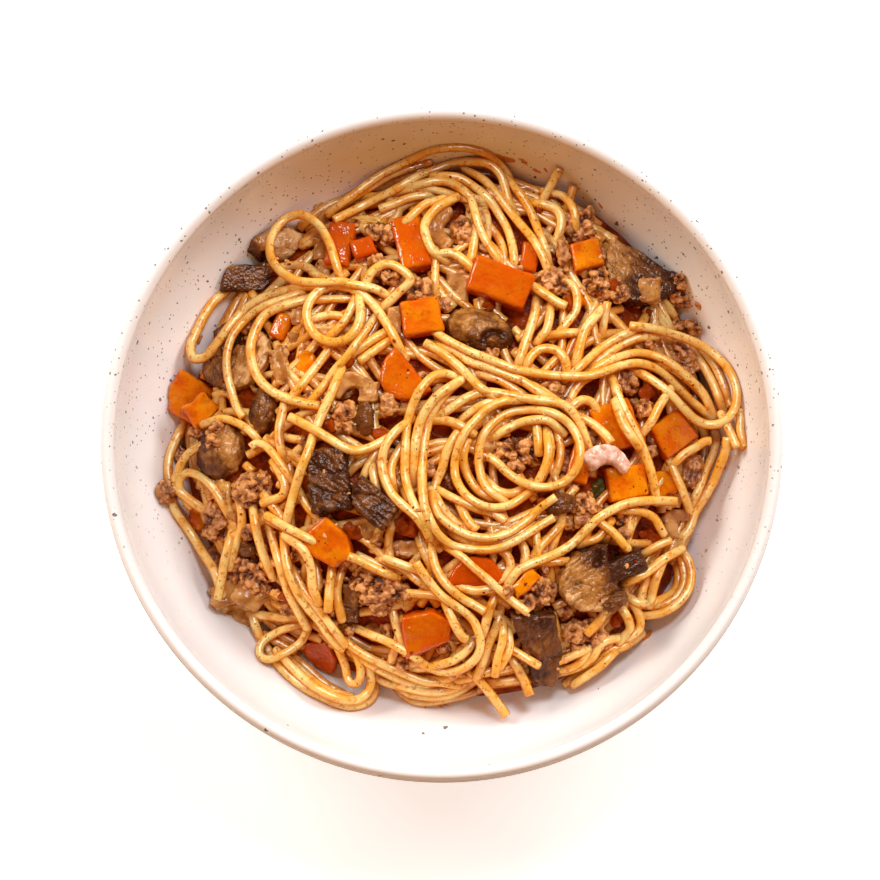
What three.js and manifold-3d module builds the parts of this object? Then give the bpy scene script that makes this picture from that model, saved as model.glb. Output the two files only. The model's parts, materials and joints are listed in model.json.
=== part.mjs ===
// Bowl of spaghetti bolognese: a glazed bowl, a heap of spaghetti, and the pieces of
// carrot, mushroom, minced beef, onion and garlic that lie in and on the heap.
// Millimetres, +Z up, origin under the middle of the foot.

import * as THREE from 'three';
import Module from 'manifold-3d';
import { mergeVertices } from 'three/addons/utils/BufferGeometryUtils.js';

// Bowl
const RIM_RADIUS = 100;
const RIM_TOP = 52;
const RIM_BAND = 4;
const RIM_ROUND = 1.4;
const FLOOR_TOP = 7;
const FLOOR_RADIUS = 55;
const ARC_CENTRE_Z = 48;
const FOOT_RADIUS = 56;
const FOOT_BAND = 5;
const FOOT_RECESS = 2.4;
const BOWL_SEGMENTS = 44;
const INNER_ARC_STEPS = 6;
const OUTER_ARC_STEPS = 5;

// Bare heap under the strands and toppings
const HEAP_TOP = 34.5;
const HEAP_RADIUS = 76;
const HEAP_SHIFT_RIGHT = 3;
const HEAP_SHIFT_BACK = 7;
const HEAP_LOBE = 1.8;
const HEAP_EDGE = 2;
const HEAP_LUMP = 1.2;
const GAP = 0.4;
const BOTTOM_GAP = 0.9;

// Strands
const STRAND_RADIUS = 1.4;
const STRAND_SIDES = 5;
const STRAND_STEP = 5.2;
const STRAND_SINK = 0.9;
const STRAND_SLOPE = 0.55;
const STRAND_FACET_GAP = 0.6;

// Places are measured on a picture plane seen from this height angle, u to the right and
// v away from the viewer, in millimetres from the middle of the rim.
const VIEW_ELEVATION = THREE.MathUtils.degToRad(81.1);
const VIEW_SIN = Math.sin(VIEW_ELEVATION);
const VIEW_COS = Math.cos(VIEW_ELEVATION);

const wasm = await Module();
wasm.setup();

// Seeded draws, so that every run gives the same pieces
function seeded(seed) {
  let state = seed;
  return () => {
    state = (state * 1664525 + 1013904223) % 4294967296;
    return state / 4294967296;
  };
}

function solidOf(geometry) {
  const bare = geometry.index ? geometry.toNonIndexed() : geometry.clone();
  for (const name of Object.keys(bare.attributes)) {
    if (name !== 'position') bare.deleteAttribute(name);
  }
  const merged = mergeVertices(bare, 1e-3);
  const triangles = [];
  const index = merged.index.array;
  for (let i = 0; i < index.length; i += 3) {
    const [a, b, c] = [index[i], index[i + 1], index[i + 2]];
    if (a !== b && b !== c && a !== c) triangles.push(a, b, c);
  }
  return new wasm.Manifold(new wasm.Mesh({
    numProp: 3,
    vertProperties: new Float32Array(merged.attributes.position.array),
    triVerts: new Uint32Array(triangles),
  }));
}

function geometryOf(vertices, triangles) {
  const geometry = new THREE.BufferGeometry();
  geometry.setAttribute('position', new THREE.BufferAttribute(new Float32Array(vertices), 3));
  geometry.setIndex([...triangles]);
  return geometry;
}

// The outside skin of the largest body: sealed hollows are filled and scraps dropped
function largestBody(solid) {
  const mesh = solid.getMesh();
  const { vertProperties: points, triVerts: triangles } = mesh;
  const parent = Array.from({ length: points.length / 3 }, (_, i) => i);
  const rootOf = (i) => {
    let node = i;
    while (parent[node] !== node) {
      parent[node] = parent[parent[node]];
      node = parent[node];
    }
    return node;
  };
  for (let i = 0; i < triangles.length; i += 3) {
    parent[rootOf(triangles[i])] = rootOf(triangles[i + 1]);
    parent[rootOf(triangles[i + 1])] = rootOf(triangles[i + 2]);
  }
  const volumes = new Map();
  const corner = (i) => new THREE.Vector3().fromArray(points, 3 * i);
  for (let i = 0; i < triangles.length; i += 3) {
    const skin = rootOf(triangles[i]);
    const volume = corner(triangles[i]).dot(corner(triangles[i + 1]).cross(corner(triangles[i + 2])));
    volumes.set(skin, (volumes.get(skin) ?? 0) + volume);
  }
  const [largest] = [...volumes.entries()].sort((a, b) => b[1] - a[1])[0];
  const kept = [];
  for (let i = 0; i < triangles.length; i += 3) {
    if (rootOf(triangles[i]) === largest) kept.push(triangles[i], triangles[i + 1], triangles[i + 2]);
  }
  const renumbered = new Map();
  const vertices = [];
  const faces = kept.map((old) => {
    if (!renumbered.has(old)) {
      renumbered.set(old, vertices.length / 3);
      vertices.push(points[3 * old], points[3 * old + 1], points[3 * old + 2]);
    }
    return renumbered.get(old);
  });
  return geometryOf(vertices, faces);
}

// Bowl surfaces
function wallArc(radius, from, to, steps) {
  return Array.from({ length: steps + 1 }, (_, i) => {
    const angle = THREE.MathUtils.degToRad(from + ((to - from) * i) / steps);
    return new THREE.Vector2(
      FLOOR_RADIUS + radius * Math.cos(angle),
      ARC_CENTRE_Z - radius * Math.sin(angle),
    );
  });
}

const INNER_ARC = RIM_RADIUS - RIM_BAND - FLOOR_RADIUS;
const OUTER_ARC = RIM_RADIUS - FLOOR_RADIUS;

function wallHeight(radius) {
  if (radius <= FLOOR_RADIUS) return FLOOR_TOP;
  const across = Math.min(radius - FLOOR_RADIUS, INNER_ARC);
  return ARC_CENTRE_Z - Math.sqrt(INNER_ARC ** 2 - across ** 2);
}

function bowlGeometry() {
  const rimInside = RIM_RADIUS - RIM_BAND;
  const profile = [
    new THREE.Vector2(0, FOOT_RECESS),
    new THREE.Vector2(FOOT_RADIUS - FOOT_BAND, FOOT_RECESS),
    new THREE.Vector2(FOOT_RADIUS - FOOT_BAND, 0),
    new THREE.Vector2(FOOT_RADIUS, 0),
    ...wallArc(OUTER_ARC, 82, 0, OUTER_ARC_STEPS),
    new THREE.Vector2(RIM_RADIUS, RIM_TOP - RIM_ROUND),
    new THREE.Vector2(RIM_RADIUS - RIM_ROUND, RIM_TOP),
    new THREE.Vector2(rimInside + RIM_ROUND, RIM_TOP),
    new THREE.Vector2(rimInside, RIM_TOP - RIM_ROUND),
    ...wallArc(INNER_ARC, 0, 90, INNER_ARC_STEPS),
    new THREE.Vector2(0, FLOOR_TOP),
  ];
  return new THREE.LatheGeometry(profile, BOWL_SEGMENTS).rotateX(Math.PI / 2);
}

// Bare heap: its radius in each direction and the height of its top
function heapRadius(angle) {
  return HEAP_RADIUS + HEAP_SHIFT_RIGHT * Math.cos(angle) + HEAP_SHIFT_BACK * Math.sin(angle)
    + HEAP_LOBE * Math.cos(3 * angle - 3.5);
}

function heapTop(x, y) {
  const radius = Math.hypot(x, y);
  const edge = heapRadius(Math.atan2(y, x));
  const part = radius / edge;
  if (part >= 1) return -Infinity;
  const edgeHeight = wallHeight(edge) + HEAP_EDGE;
  const dome = (1 - part ** 3) ** 0.75;
  const lump = HEAP_LUMP * Math.sin(x / 11 + 1) * Math.sin(y / 9) * (1 - part ** 2);
  return edgeHeight + (HEAP_TOP - edgeHeight) * dome + lump;
}

// What a piece at x, y would rest on: the bare heap, or the bowl's wall outside it
function ground(x, y) {
  return Math.max(heapTop(x, y), wallHeight(Math.hypot(x, y)) + GAP);
}

function heapGeometry(lift) {
  const rings = [0, 0.3, 0.55, 0.75, 0.88, 0.96, 1];
  const under = [0, 0.5, 0.75, 0.9, 1].map((part) => new THREE.Vector2(part, 0));
  const over = rings.toReversed().map((part) => new THREE.Vector2(part, 1));
  const geometry = new THREE.LatheGeometry([...under, ...over], BOWL_SEGMENTS).rotateX(Math.PI / 2);
  const points = geometry.attributes.position;
  for (let i = 0; i < points.count; i += 1) {
    const angle = Math.atan2(points.getY(i), points.getX(i));
    const part = Math.hypot(points.getX(i), points.getY(i));
    const radius = part * heapRadius(angle);
    const inside = Math.min(radius, heapRadius(angle) * 0.9999);
    const [x, y] = [radius * Math.cos(angle), radius * Math.sin(angle)];
    const top = heapTop(inside * Math.cos(angle), inside * Math.sin(angle));
    const height = points.getZ(i) > 0.5 ? top + lift : wallHeight(radius) + BOTTOM_GAP - lift;
    points.setXYZ(i, x, y, height);
  }
  return geometry;
}

// Plan place of a point seen at u, v that lies at a height z, or this far above the ground
function planY(v, z) {
  return (v + (RIM_TOP - z) * VIEW_COS) / VIEW_SIN;
}

function seat(u, v, above) {
  let y = v;
  for (let i = 0; i < 6; i += 1) y = planY(v, ground(u, y) + above);
  return new THREE.Vector3(u, y, ground(u, y) + above);
}

// Knife-cut pieces: an outline extruded upwards with a narrow bevel
function slab(outline, height, bevel = 0.6) {
  const geometry = new THREE.ExtrudeGeometry(outline, {
    depth: height - 2 * bevel,
    bevelEnabled: true,
    bevelThickness: bevel,
    bevelSize: bevel,
    bevelOffset: -bevel,
    bevelSegments: 1,
    curveSegments: 5,
    steps: 1,
  });
  return geometry.translate(0, 0, bevel - height / 2);
}

function outlineOf(corners) {
  return new THREE.Shape(corners.map(([x, y]) => new THREE.Vector2(x, y)));
}

function cube({ length, width, height, draw }) {
  const skew = () => 1 - 0.16 * draw();
  const [a, b] = [length / 2, width / 2];
  return slab(outlineOf([
    [-a * skew(), -b * skew()],
    [a * skew(), -b * skew()],
    [a * skew(), b * skew()],
    [-a * skew(), b * skew()],
  ]), height);
}

function wedge({ length, width, height }) {
  const [a, b] = [length / 2, width / 2];
  return slab(outlineOf([[-a, -b], [a * 0.8, -b * 0.55], [a, b * 0.4], [a * 0.35, b], [-a * 0.8, b]]), height);
}

function halfMoon({ length, width, height }) {
  const outline = new THREE.Shape();
  outline.moveTo(-length / 2, -width / 2);
  outline.lineTo(length / 2, -width / 2);
  outline.absellipse(0, -width / 2, length / 2, width, 0, Math.PI, false, 0);
  return slab(outline, height);
}

// A mushroom slice: a round cap with a short stem under its middle
function mushroomSlice({ length, width, height }) {
  const capDepth = width * 0.6;
  const stem = length * 0.17;
  const outline = new THREE.Shape();
  outline.moveTo(-stem, -width / 2);
  outline.lineTo(stem, -width / 2);
  outline.lineTo(stem * 0.9, width / 2 - capDepth);
  outline.lineTo(length * 0.42, width / 2 - capDepth * 1.15);
  outline.lineTo(length / 2, width / 2 - capDepth * 0.8);
  outline.absellipse(0, width / 2 - capDepth * 0.8, length / 2, capDepth * 0.8, 0, Math.PI, false, 0);
  outline.lineTo(-length * 0.42, width / 2 - capDepth * 1.15);
  outline.lineTo(-stem * 0.9, width / 2 - capDepth);
  return slab(outline, height, 0.9);
}

// A whole cap or half of one, domed upwards
function mushroomCap({ length, width, height }) {
  const geometry = new THREE.SphereGeometry(1, 10, 6);
  geometry.rotateX(Math.PI / 2);
  const points = geometry.attributes.position;
  for (let i = 0; i < points.count; i += 1) {
    const under = Math.min(points.getZ(i), 0) * 0.5;
    const z = Math.max(points.getZ(i), 0) + under;
    points.setXYZ(i, points.getX(i) * (length / 2), points.getY(i) * (width / 2), z * (height * 0.6));
  }
  return geometry;
}

// Minced beef: a clump whose surface is all crags and hollows
function mince({ length, width, height, draw }) {
  const phases = [6 * draw(), 6 * draw(), 6 * draw()];
  const geometry = new THREE.IcosahedronGeometry(1, 1);
  const points = geometry.attributes.position;
  const point = new THREE.Vector3();
  for (let i = 0; i < points.count; i += 1) {
    point.fromBufferAttribute(points, i);
    const crag = Math.sin(3.1 * point.x + phases[0]) * Math.sin(3.7 * point.y + phases[1])
      + 0.6 * Math.sin(5.3 * point.z + 4.1 * point.x + phases[2]);
    point.multiplyScalar(1.04 + 0.2 * crag);
    points.setXYZ(i, (point.x * length) / 2, (point.y * width) / 2, (point.z * height) / 2);
  }
  return geometry;
}

// Onion and garlic: a curved petal, thicker in its middle
function petal({ length, width, height }) {
  const outline = new THREE.Shape();
  const bow = width * 0.45;
  outline.moveTo(-length / 2, 0);
  outline.quadraticCurveTo(0, width * 1.1, length / 2, 0);
  outline.quadraticCurveTo(length * 0.45, -width * 0.5, length * 0.3, -width * 0.35);
  outline.quadraticCurveTo(0, bow - width * 0.2, -length * 0.3, -width * 0.35);
  return slab(outline, height, 0.5);
}

// Toppings, each with where its middle is seen (u, v), its length, width and height, its
// turn in degrees, and how far its top stands proud of the bare heap
const CARROTS = [
  [cube, -74.5, 12.5, 14.5, 13.5, 11, -32, 6.5],
  [cube, -29.5, 57, 16, 8.5, 9, 84, 5],
  [cube, -22.8, 56.3, 7.5, 6.5, 7, 20, 6.5],
  [cube, -8.7, 57.5, 18, 9.5, 9, 105, 6],
  [cube, -6, 35.8, 12.5, 12, 10, 8, 6],
  [halfMoon, -12.3, 17.3, 17, 11, 9, 130, 6],
  [cube, 17.3, 46, 19, 12.5, 10, -20, 7],
  [cube, 25.8, 53.5, 10, 6, 8, 80, 4],
  [cube, 42.3, 54, 10.5, 9.5, 9, 15, 6],
  [cube, 51, 4, 15, 13.5, 9, -70, 4.5],
  [cube, 67, 2, 13, 12, 9, 35, 5],
  [cube, 54, -12.5, 13, 11, 9, 10, 5],
  [cube, 40.5, -7.5, 12, 7.5, 8, 75, 3.5],
  [wedge, -33.3, -30.6, 15.5, 13, 9, -42, 6.5],
  [wedge, -4, -55.8, 16, 13, 9, 12, 6.5],
  [wedge, -35, -63.3, 12, 9.5, 8, -70, 4.5],
  [halfMoon, 10.3, -38.2, 17, 9, 8, 0, 4],
  [cube, -46.8, 33.3, 9, 6, 7, 65, 4],
];

const MUSHROOMS = [
  [mushroomCap, -49.5, 58.5, 23, 14, 9, -8, 5],
  [cube, -58, 48.3, 17, 9, 9, 0, 5.5],
  [mushroomSlice, -60.5, 25, 23, 22, 6, 205, 4],
  [mushroomCap, -52.5, 9, 17, 8.5, 8, 80, 4.5],
  [mushroomCap, -65, -3, 19, 16, 11, 60, 6.5],
  [cube, -33, -12, 20, 14, 8, 100, 6.5],
  [cube, -20.2, -18.8, 16, 10, 8, -38, 7],
  [mushroomCap, 11, 32.3, 22, 14.5, 10, -16, 6.5],
  [halfMoon, 56.5, 47, 25, 16, 9, 152, 5.5],
  [mushroomSlice, 46.5, -39.5, 20, 27, 11, 113, 8],
  [wedge, 28.3, -60.5, 26, 13, 8, -78, 5],
  [cube, -26.6, -47.5, 12, 6, 6, 85, 4.5],
];

const MINCES = [
  [mince, -15.5, 49.5, 11, 8, 6, 20, 6],
  [mince, -6.3, 44.6, 9, 6.5, 6, 30, 6],
  [mince, -17, 61.2, 11, 7.5, 6, -20, 6],
  [mince, 41, 64, 11, 9.5, 6, 60, 5.5],
  [mince, 33, 47, 10, 7, 6, -20, 6],
  [mince, 47.3, 46.5, 11, 10.5, 7, 70, 6],
  [mince, 68.3, 45.8, 11, 9.5, 7, 60, 5.5],
  [mince, 72.7, 34, 14, 4.6, 4, 5, 5],
  [mince, 71.5, 25, 13, 7, 5, -45, 5.5],
  [mince, 21.5, -3.3, 15, 9, 7, 0, 5],
  [mince, -56, -14.6, 13, 11, 7, 10, 6],
  [mince, -66.7, -24.3, 12, 10, 7, 70, 5],
  [mince, -56.7, -40.7, 15, 13.5, 8, 80, 6],
  [mince, -18.8, -43.5, 18, 10, 7, -14, 6.5],
  [mince, -32.4, -50.7, 9, 8, 6, 60, 5.5],
  [mince, 28.2, -44.3, 10, 9, 7, 20, 6],
  [mince, 42.5, -57.3, 16, 10, 7, -12, 6],
  [mince, 42, -19, 9, 7.5, 6, 10, 5],
];

const OTHERS = [
  ['onion_1', petal, 0.2, 62.5, 15, 9, 4, 95, 4.5],
  ['onion_2', petal, -27.3, 16, 13, 8, 4, 20, 5],
  ['onion_3', petal, -59.5, -49.5, 16, 9, 5, -12, 4.5],
  ['onion_4', petal, 68.8, -24.5, 10, 9, 4, 60, 4],
  ['garlic', petal, 49, -5.8, 14, 8, 4, -8, 8],
];

// Colours and finishes
function finish(colour, roughness) {
  return new THREE.MeshStandardMaterial({ color: colour, roughness, metalness: 0 });
}

const GLAZE = finish(0xf2ebe3, 0.25);
const PASTA = finish(0xf0c079, 0.4);
const CARROT = finish(0xe2640f, 0.3);
const MUSHROOM = finish(0x7a5536, 0.3);
const MINCE = finish(0x9a6444, 0.5);
const ONION = finish(0xc98a4c, 0.3);
const GARLIC = finish(0xf0d8c8, 0.35);

const toppings = [];

// The room inside the bowl and above the bare heap that a topping may fill
const heapClearance = solidOf(heapGeometry(GAP));
const bowlClearance = solidOf(bowlGeometry()).add(solidOf(bowlGeometry().translate(0, 0, GAP)));

function grown(geometry) {
  const copy = geometry.clone();
  copy.computeBoundingBox();
  const middle = copy.boundingBox.getCenter(new THREE.Vector3());
  const size = copy.boundingBox.getSize(new THREE.Vector3());
  copy.translate(-middle.x, -middle.y, -middle.z);
  copy.scale(1 + (2 * GAP) / size.x, 1 + (2 * GAP) / size.y, 1 + (2 * GAP) / size.z);
  return copy.translate(middle.x, middle.y, middle.z);
}

// Lays a topping on the ground, leaning with it, and trims it round what is there already
function lay(name, material, [make, u, v, length, width, height, turn, proud], seed) {
  const geometry = make({ length, width, height, draw: seeded(seed) });
  const place = seat(u, v, proud - height / 2);
  const reach = length * 0.4;
  const slopeX = (ground(place.x + reach, place.y) - ground(place.x - reach, place.y)) / (2 * reach);
  const slopeY = (ground(place.x, place.y + reach) - ground(place.x, place.y - reach)) / (2 * reach);
  const up = new THREE.Vector3(-slopeX * 0.8, -slopeY * 0.8, 1).normalize();
  const lean = new THREE.Quaternion().setFromUnitVectors(new THREE.Vector3(0, 0, 1), up);
  geometry.rotateZ(THREE.MathUtils.degToRad(turn));
  geometry.applyQuaternion(lean);
  geometry.translate(place.x, place.y, place.z);
  let solid = solidOf(geometry).subtract(heapClearance);
  if (Math.hypot(place.x, place.y) + length / 2 > FLOOR_RADIUS) solid = solid.subtract(bowlClearance);
  const box = new THREE.Box3().setFromBufferAttribute(geometry.attributes.position);
  for (const other of toppings) {
    if (box.intersectsBox(other.box)) solid = solid.subtract(solidOf(grown(other.whole)));
  }
  const body = largestBody(solid);
  toppings.push({
    name,
    geometry: body,
    whole: geometry,
    material,
    box: new THREE.Box3().setFromBufferAttribute(body.attributes.position),
  });
}

function layKind(word, material, rows, seed) {
  rows.forEach((row, i) => lay(`${word}_${String(i + 1).padStart(2, '0')}`, material, row, seed + i));
}

layKind('carrot', CARROT, CARROTS, 100);
layKind('mushroom', MUSHROOM, MUSHROOMS, 200);
layKind('mince', MINCE, MINCES, 300);
OTHERS.forEach(([name, ...row], i) => lay(name, name === 'garlic' ? GARLIC : ONION, row, 400 + i));

// Heights of what already lies on the heap, on a grid of one-millimetre cells
const GRID_HALF = 100;
const GRID_SIDE = 2 * GRID_HALF + 1;
const toppingHeights = new Float32Array(GRID_SIDE * GRID_SIDE).fill(-1000);
const strandHeights = new Float32Array(GRID_SIDE * GRID_SIDE).fill(-1000);

function raise(heights, x, y, z) {
  const [column, row] = [Math.round(x) + GRID_HALF, Math.round(y) + GRID_HALF];
  const cell = row * GRID_SIDE + column;
  if (heights[cell] < z) heights[cell] = z;
}

function heightAt(heights, x, y) {
  return heights[(Math.round(y) + GRID_HALF) * GRID_SIDE + Math.round(x) + GRID_HALF];
}

function markTopping(geometry) {
  const points = geometry.attributes.position;
  const index = geometry.index.array;
  const [a, b, c] = [new THREE.Vector3(), new THREE.Vector3(), new THREE.Vector3()];
  for (let i = 0; i < index.length; i += 3) {
    a.fromBufferAttribute(points, index[i]);
    b.fromBufferAttribute(points, index[i + 1]);
    c.fromBufferAttribute(points, index[i + 2]);
    const steps = Math.ceil(Math.max(a.distanceTo(b), b.distanceTo(c), a.distanceTo(c)) / 0.5);
    for (let j = 0; j <= steps; j += 1) {
      for (let k = 0; k <= steps - j; k += 1) {
        const [s, t] = [j / steps, k / steps];
        const r = 1 - s - t;
        raise(toppingHeights, r * a.x + s * b.x + t * c.x, r * a.y + s * b.y + t * c.y,
          r * a.z + s * b.z + t * c.z);
      }
    }
  }
}

toppings.forEach(({ geometry }) => markTopping(geometry));

// Lowest height of a strand's middle at x, y over everything beneath its width
function restHeight(x, y) {
  let height = -Infinity;
  for (const out of [0, 0.6, 0.95]) {
    const arms = out === 0 ? 1 : 8;
    const cap = STRAND_RADIUS * Math.sqrt(1 - out * out);
    for (let i = 0; i < arms; i += 1) {
      const angle = (i * 2 * Math.PI) / arms;
      const px = x + out * STRAND_RADIUS * Math.cos(angle);
      const py = y + out * STRAND_RADIUS * Math.sin(angle);
      height = Math.max(
        height,
        heapTop(px, py) + cap - STRAND_SINK,
        wallHeight(Math.hypot(px, py) + STRAND_FACET_GAP) + GAP + cap,
        heightAt(toppingHeights, px, py) + GAP + 0.4 + cap,
        heightAt(strandHeights, px, py) + cap - STRAND_SINK * 0.5,
      );
    }
  }
  return height;
}

// Drapes a route seen from above over what lies there, with no steep drops
function drape(route, above) {
  const flat = new THREE.CatmullRomCurve3(
    route.map(([u, v]) => new THREE.Vector3(u, v, 0)),
    false,
    'centripetal',
  );
  const count = Math.ceil(flat.getLength() / 1.2);
  const points = flat.getSpacedPoints(count).map(({ x, y }) => seat(x, y, above));
  points.forEach((point) => { point.z = restHeight(point.x, point.y); });
  const limit = (i, j) => {
    const run = Math.hypot(points[i].x - points[j].x, points[i].y - points[j].y);
    points[i].z = Math.max(points[i].z, points[j].z - STRAND_SLOPE * run);
  };
  for (let i = 1; i < points.length; i += 1) limit(i, i - 1);
  for (let i = points.length - 2; i >= 0; i -= 1) limit(i, i + 1);
  return points;
}

function strandGeometry(points) {
  const curve = new THREE.CatmullRomCurve3(points.filter((_, i) => i % 3 === 0 || i === points.length - 1));
  const section = new THREE.Shape();
  for (let i = 0; i < STRAND_SIDES; i += 1) {
    const angle = (i * 2 * Math.PI) / STRAND_SIDES;
    const corner = [STRAND_RADIUS * Math.cos(angle), STRAND_RADIUS * Math.sin(angle)];
    if (i === 0) section.moveTo(...corner);
    else section.lineTo(...corner);
  }
  return new THREE.ExtrudeGeometry(section, {
    steps: Math.ceil(curve.getLength() / STRAND_STEP),
    bevelEnabled: false,
    extrudePath: curve,
  });
}

// Part of an ellipse as a strand's route, from one angle to another in degrees
function arc(u, v, across, along, from, to) {
  const count = Math.ceil(Math.abs(to - from) / 30);
  return Array.from({ length: count + 1 }, (_, i) => {
    const angle = THREE.MathUtils.degToRad(from + ((to - from) * i) / count);
    return [u + across * Math.cos(angle), v + along * Math.sin(angle)];
  });
}

// The strands that show most, lowest first, each with its route as seen from above
const STRANDS = [
  [[-77, 4], [-81, -9], [-78.5, -20], [-72, -33], [-65.5, -43]],
  [[-32, 68], [-18, 76], ...arc(3, 68, 17, 19, 115, 10), [20, 62], [21.5, 51]],
  [[-32, 65.5], [-20, 71], [-6, 73], [6, 71.5], [14, 66], [21, 57], [21.5, 51]],
  [[9, 79.5], [19, 69.5], [27, 59.5], [31, 50]],
  [[-48, -64], [-40, -72.5], ...arc(-27, -70.5, 7, 7.2, 250, 380), [-28, -61]],
  [[-20, -66], [-11, -75], ...arc(0, -63, 14, 13, 240, 320), [16.5, -62], [18, -53]],
  [[84, 1], [82, -8], [77, -18], [70.5, -29]],
  [[61, -37.5], ...arc(59.5, -41, 14.2, 10.5, 50, -95), [54, -47]],
  [[54, -59.5], [46, -65], [36, -72]],
  [[-31.5, -55], [-20, -57.3], [-5, -66], ...arc(0.5, -57, 11, 11, 275, 370), [3.8, -48], [-7, -36]],
  [[-52, -23], [-48.4, -34.5], [-45, -45], [-41, -53]],
  [[-46.3, -27.5], [-45.5, -37], [-39.5, -49], [-29, -61]],
  [[-30.5, 19], [-37.3, 3], [-43, -13.5], [-45.5, -23]],
  [...arc(-66.5, 35, 8.5, 13, 190, 260), [-62, 35], [-52, 43], [-35, 46]],
  [[-58.5, 7], [-63.5, 26], [-55, 38.5], [-41, 44]],
  [[-36, 10.3], [-50, 14.5], [-56.5, 28], [-48, 39.5], [-38, 42.5]],
  [...arc(-40, 56, 10.8, 10.8, -60, 240), [-30, 47], [-17, 43.5]],
  [[-12, 26.5], [-21, 41], ...arc(-32, 38, 7.8, 8.6, 50, 370)],
  [[-45, 7.2], [-33, 0.6], [-25, -3], [-16, 1]],
  [[-10.8, 5], [-17.6, -6], [-12, -18.4], [-5.5, -25]],
  [[4, 17], [-6, 7], [-8.3, -6], [-5, -25], ...arc(12, -15, 17, 16.5, 215, 320)],
  [[-1, 31.5], [18, 22.5], [40, 19], [55, 22.7], [66, 19.5], [79, 7.5]],
  [[55.5, 34], ...arc(74, 18.5, 13.2, 13, 100, -110), [60, 19.3]],
  [...arc(20, -5, 21.5, 18.5, 160, -10)],
  [...arc(24.5, -2.5, 15.5, 12, -150, 160), ...arc(20, -6, 9.5, 12, 170, 250)],
  [...arc(18, -4, 15, 15.5, 150, 330)],
  [[69, -17.8], [55.5, -18.6], [40, -28], [24, -37.6], [19, -42]],
  [[2, -31.5], [13.8, -41], [25.4, -50.5]],
  [[-3, -31.5], [0, -40.5], [12.7, -50]],
];

let heap = solidOf(heapGeometry(0));
for (const route of STRANDS) {
  const points = drape(route, 4);
  heap = heap.add(solidOf(strandGeometry(points)));
  points.forEach((point) => {
    for (const out of [0, 0.5, 1]) {
      for (let i = 0; i < 8; i += 1) {
        const angle = (i * Math.PI) / 4;
        const reach = out * STRAND_RADIUS;
        raise(strandHeights, point.x + reach * Math.cos(angle), point.y + reach * Math.sin(angle),
          point.z + STRAND_RADIUS * Math.sqrt(1 - out * out));
      }
    }
  });
}

const dish = new THREE.Group();

function add(name, geometry, material) {
  const mesh = new THREE.Mesh(geometry, material);
  mesh.name = name;
  dish.add(mesh);
}

add('bowl', bowlGeometry(), GLAZE);
add('spaghetti', largestBody(heap), PASTA);
toppings.forEach(({ name, geometry, material }) => add(name, geometry, material));

export default dish;
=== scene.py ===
# Bowl of spaghetti bolognese, dressed for the picture: a speckled glazed bowl, loose
# strands lying in sauce, and carrot, mushroom, minced beef, onion and crumbs among them.
import json
import math
import random

import bmesh
import bpy
import numpy as np
from mathutils import Matrix, Vector, noise
from mathutils.bvhtree import BVHTree

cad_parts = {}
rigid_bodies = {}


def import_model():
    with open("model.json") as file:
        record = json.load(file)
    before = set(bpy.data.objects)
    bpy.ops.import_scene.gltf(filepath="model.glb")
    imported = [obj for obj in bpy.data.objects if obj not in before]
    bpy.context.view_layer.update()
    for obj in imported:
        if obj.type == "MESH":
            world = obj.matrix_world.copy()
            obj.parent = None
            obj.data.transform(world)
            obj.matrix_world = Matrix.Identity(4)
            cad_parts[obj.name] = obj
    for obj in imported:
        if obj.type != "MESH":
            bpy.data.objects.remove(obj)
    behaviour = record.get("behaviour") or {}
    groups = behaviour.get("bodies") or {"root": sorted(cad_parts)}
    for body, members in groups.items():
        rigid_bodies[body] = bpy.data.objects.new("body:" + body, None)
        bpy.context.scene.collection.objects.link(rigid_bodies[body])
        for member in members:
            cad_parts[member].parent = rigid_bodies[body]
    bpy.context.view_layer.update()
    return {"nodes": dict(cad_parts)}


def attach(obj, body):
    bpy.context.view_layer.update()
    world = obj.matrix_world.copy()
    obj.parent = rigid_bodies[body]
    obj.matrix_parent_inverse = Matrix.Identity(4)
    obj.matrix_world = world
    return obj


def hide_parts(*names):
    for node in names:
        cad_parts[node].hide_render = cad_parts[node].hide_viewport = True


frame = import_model()
MM = 0.001

# Without a seed the noise that shifts the crumbs of meat would be another one in each run
noise.seed_set(1)

# Bowl, in millimetres, as the solid bowl has it. Its outside leaves the foot at this angle in
# degrees above the level, seen from the centre of the arc.
RIM_RADIUS = 100.0
RIM_TOP = 52.0
RIM_BAND = 4.0
RIM_ROUND = 1.4
RIM_ROUND_INSIDE = 2.6
FLOOR_TOP = 7.0
FLOOR_RADIUS = 55.0
ARC_CENTRE_Z = 48.0
INNER_ARC = RIM_RADIUS - RIM_BAND - FLOOR_RADIUS
OUTER_ARC = RIM_RADIUS - FLOOR_RADIUS
FOOT_RADIUS = 56.0
FOOT_BAND = 5.0
FOOT_RECESS = 2.4
FOOT_ROUND = 0.5
FOOT_MEETS_OUTSIDE = -82
BOWL_STEPS = 180

# Bare heap of food under the strands: its outline, shifted and gently lobed, how full it is
# towards its edge, and how high, wide and deep its lumps are
HEAP_TOP = 34.5
HEAP_RADIUS = 76.0
HEAP_SHIFT_RIGHT = 3.0
HEAP_SHIFT_BACK = 7.0
HEAP_LOBE = 1.8
HEAP_LOBE_TURN = 3.5
HEAP_EDGE = 2.0
HEAP_FULL = 0.75
HEAP_LUMP = 1.2
HEAP_LUMP_WIDE = 11
HEAP_LUMP_DEEP = 9

# Strands: their thickness and how it varies, the step between the points of a line and the
# finer one between those of its curve, how far a strand presses into what it lies on, how
# far a tucked end runs on, how steep it may lie, and how high it may be piled on the heap
STRAND_RADIUS = 1.4
STRAND_VARIES = (0.92, 1.08)
STRAND_SIDES = 10
STEP = 0.8
FINE_STEP = 0.25
PRESS = 0.35
TUCK = 3.2
SLOPE = 0.42
PILE = 7.6

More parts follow.
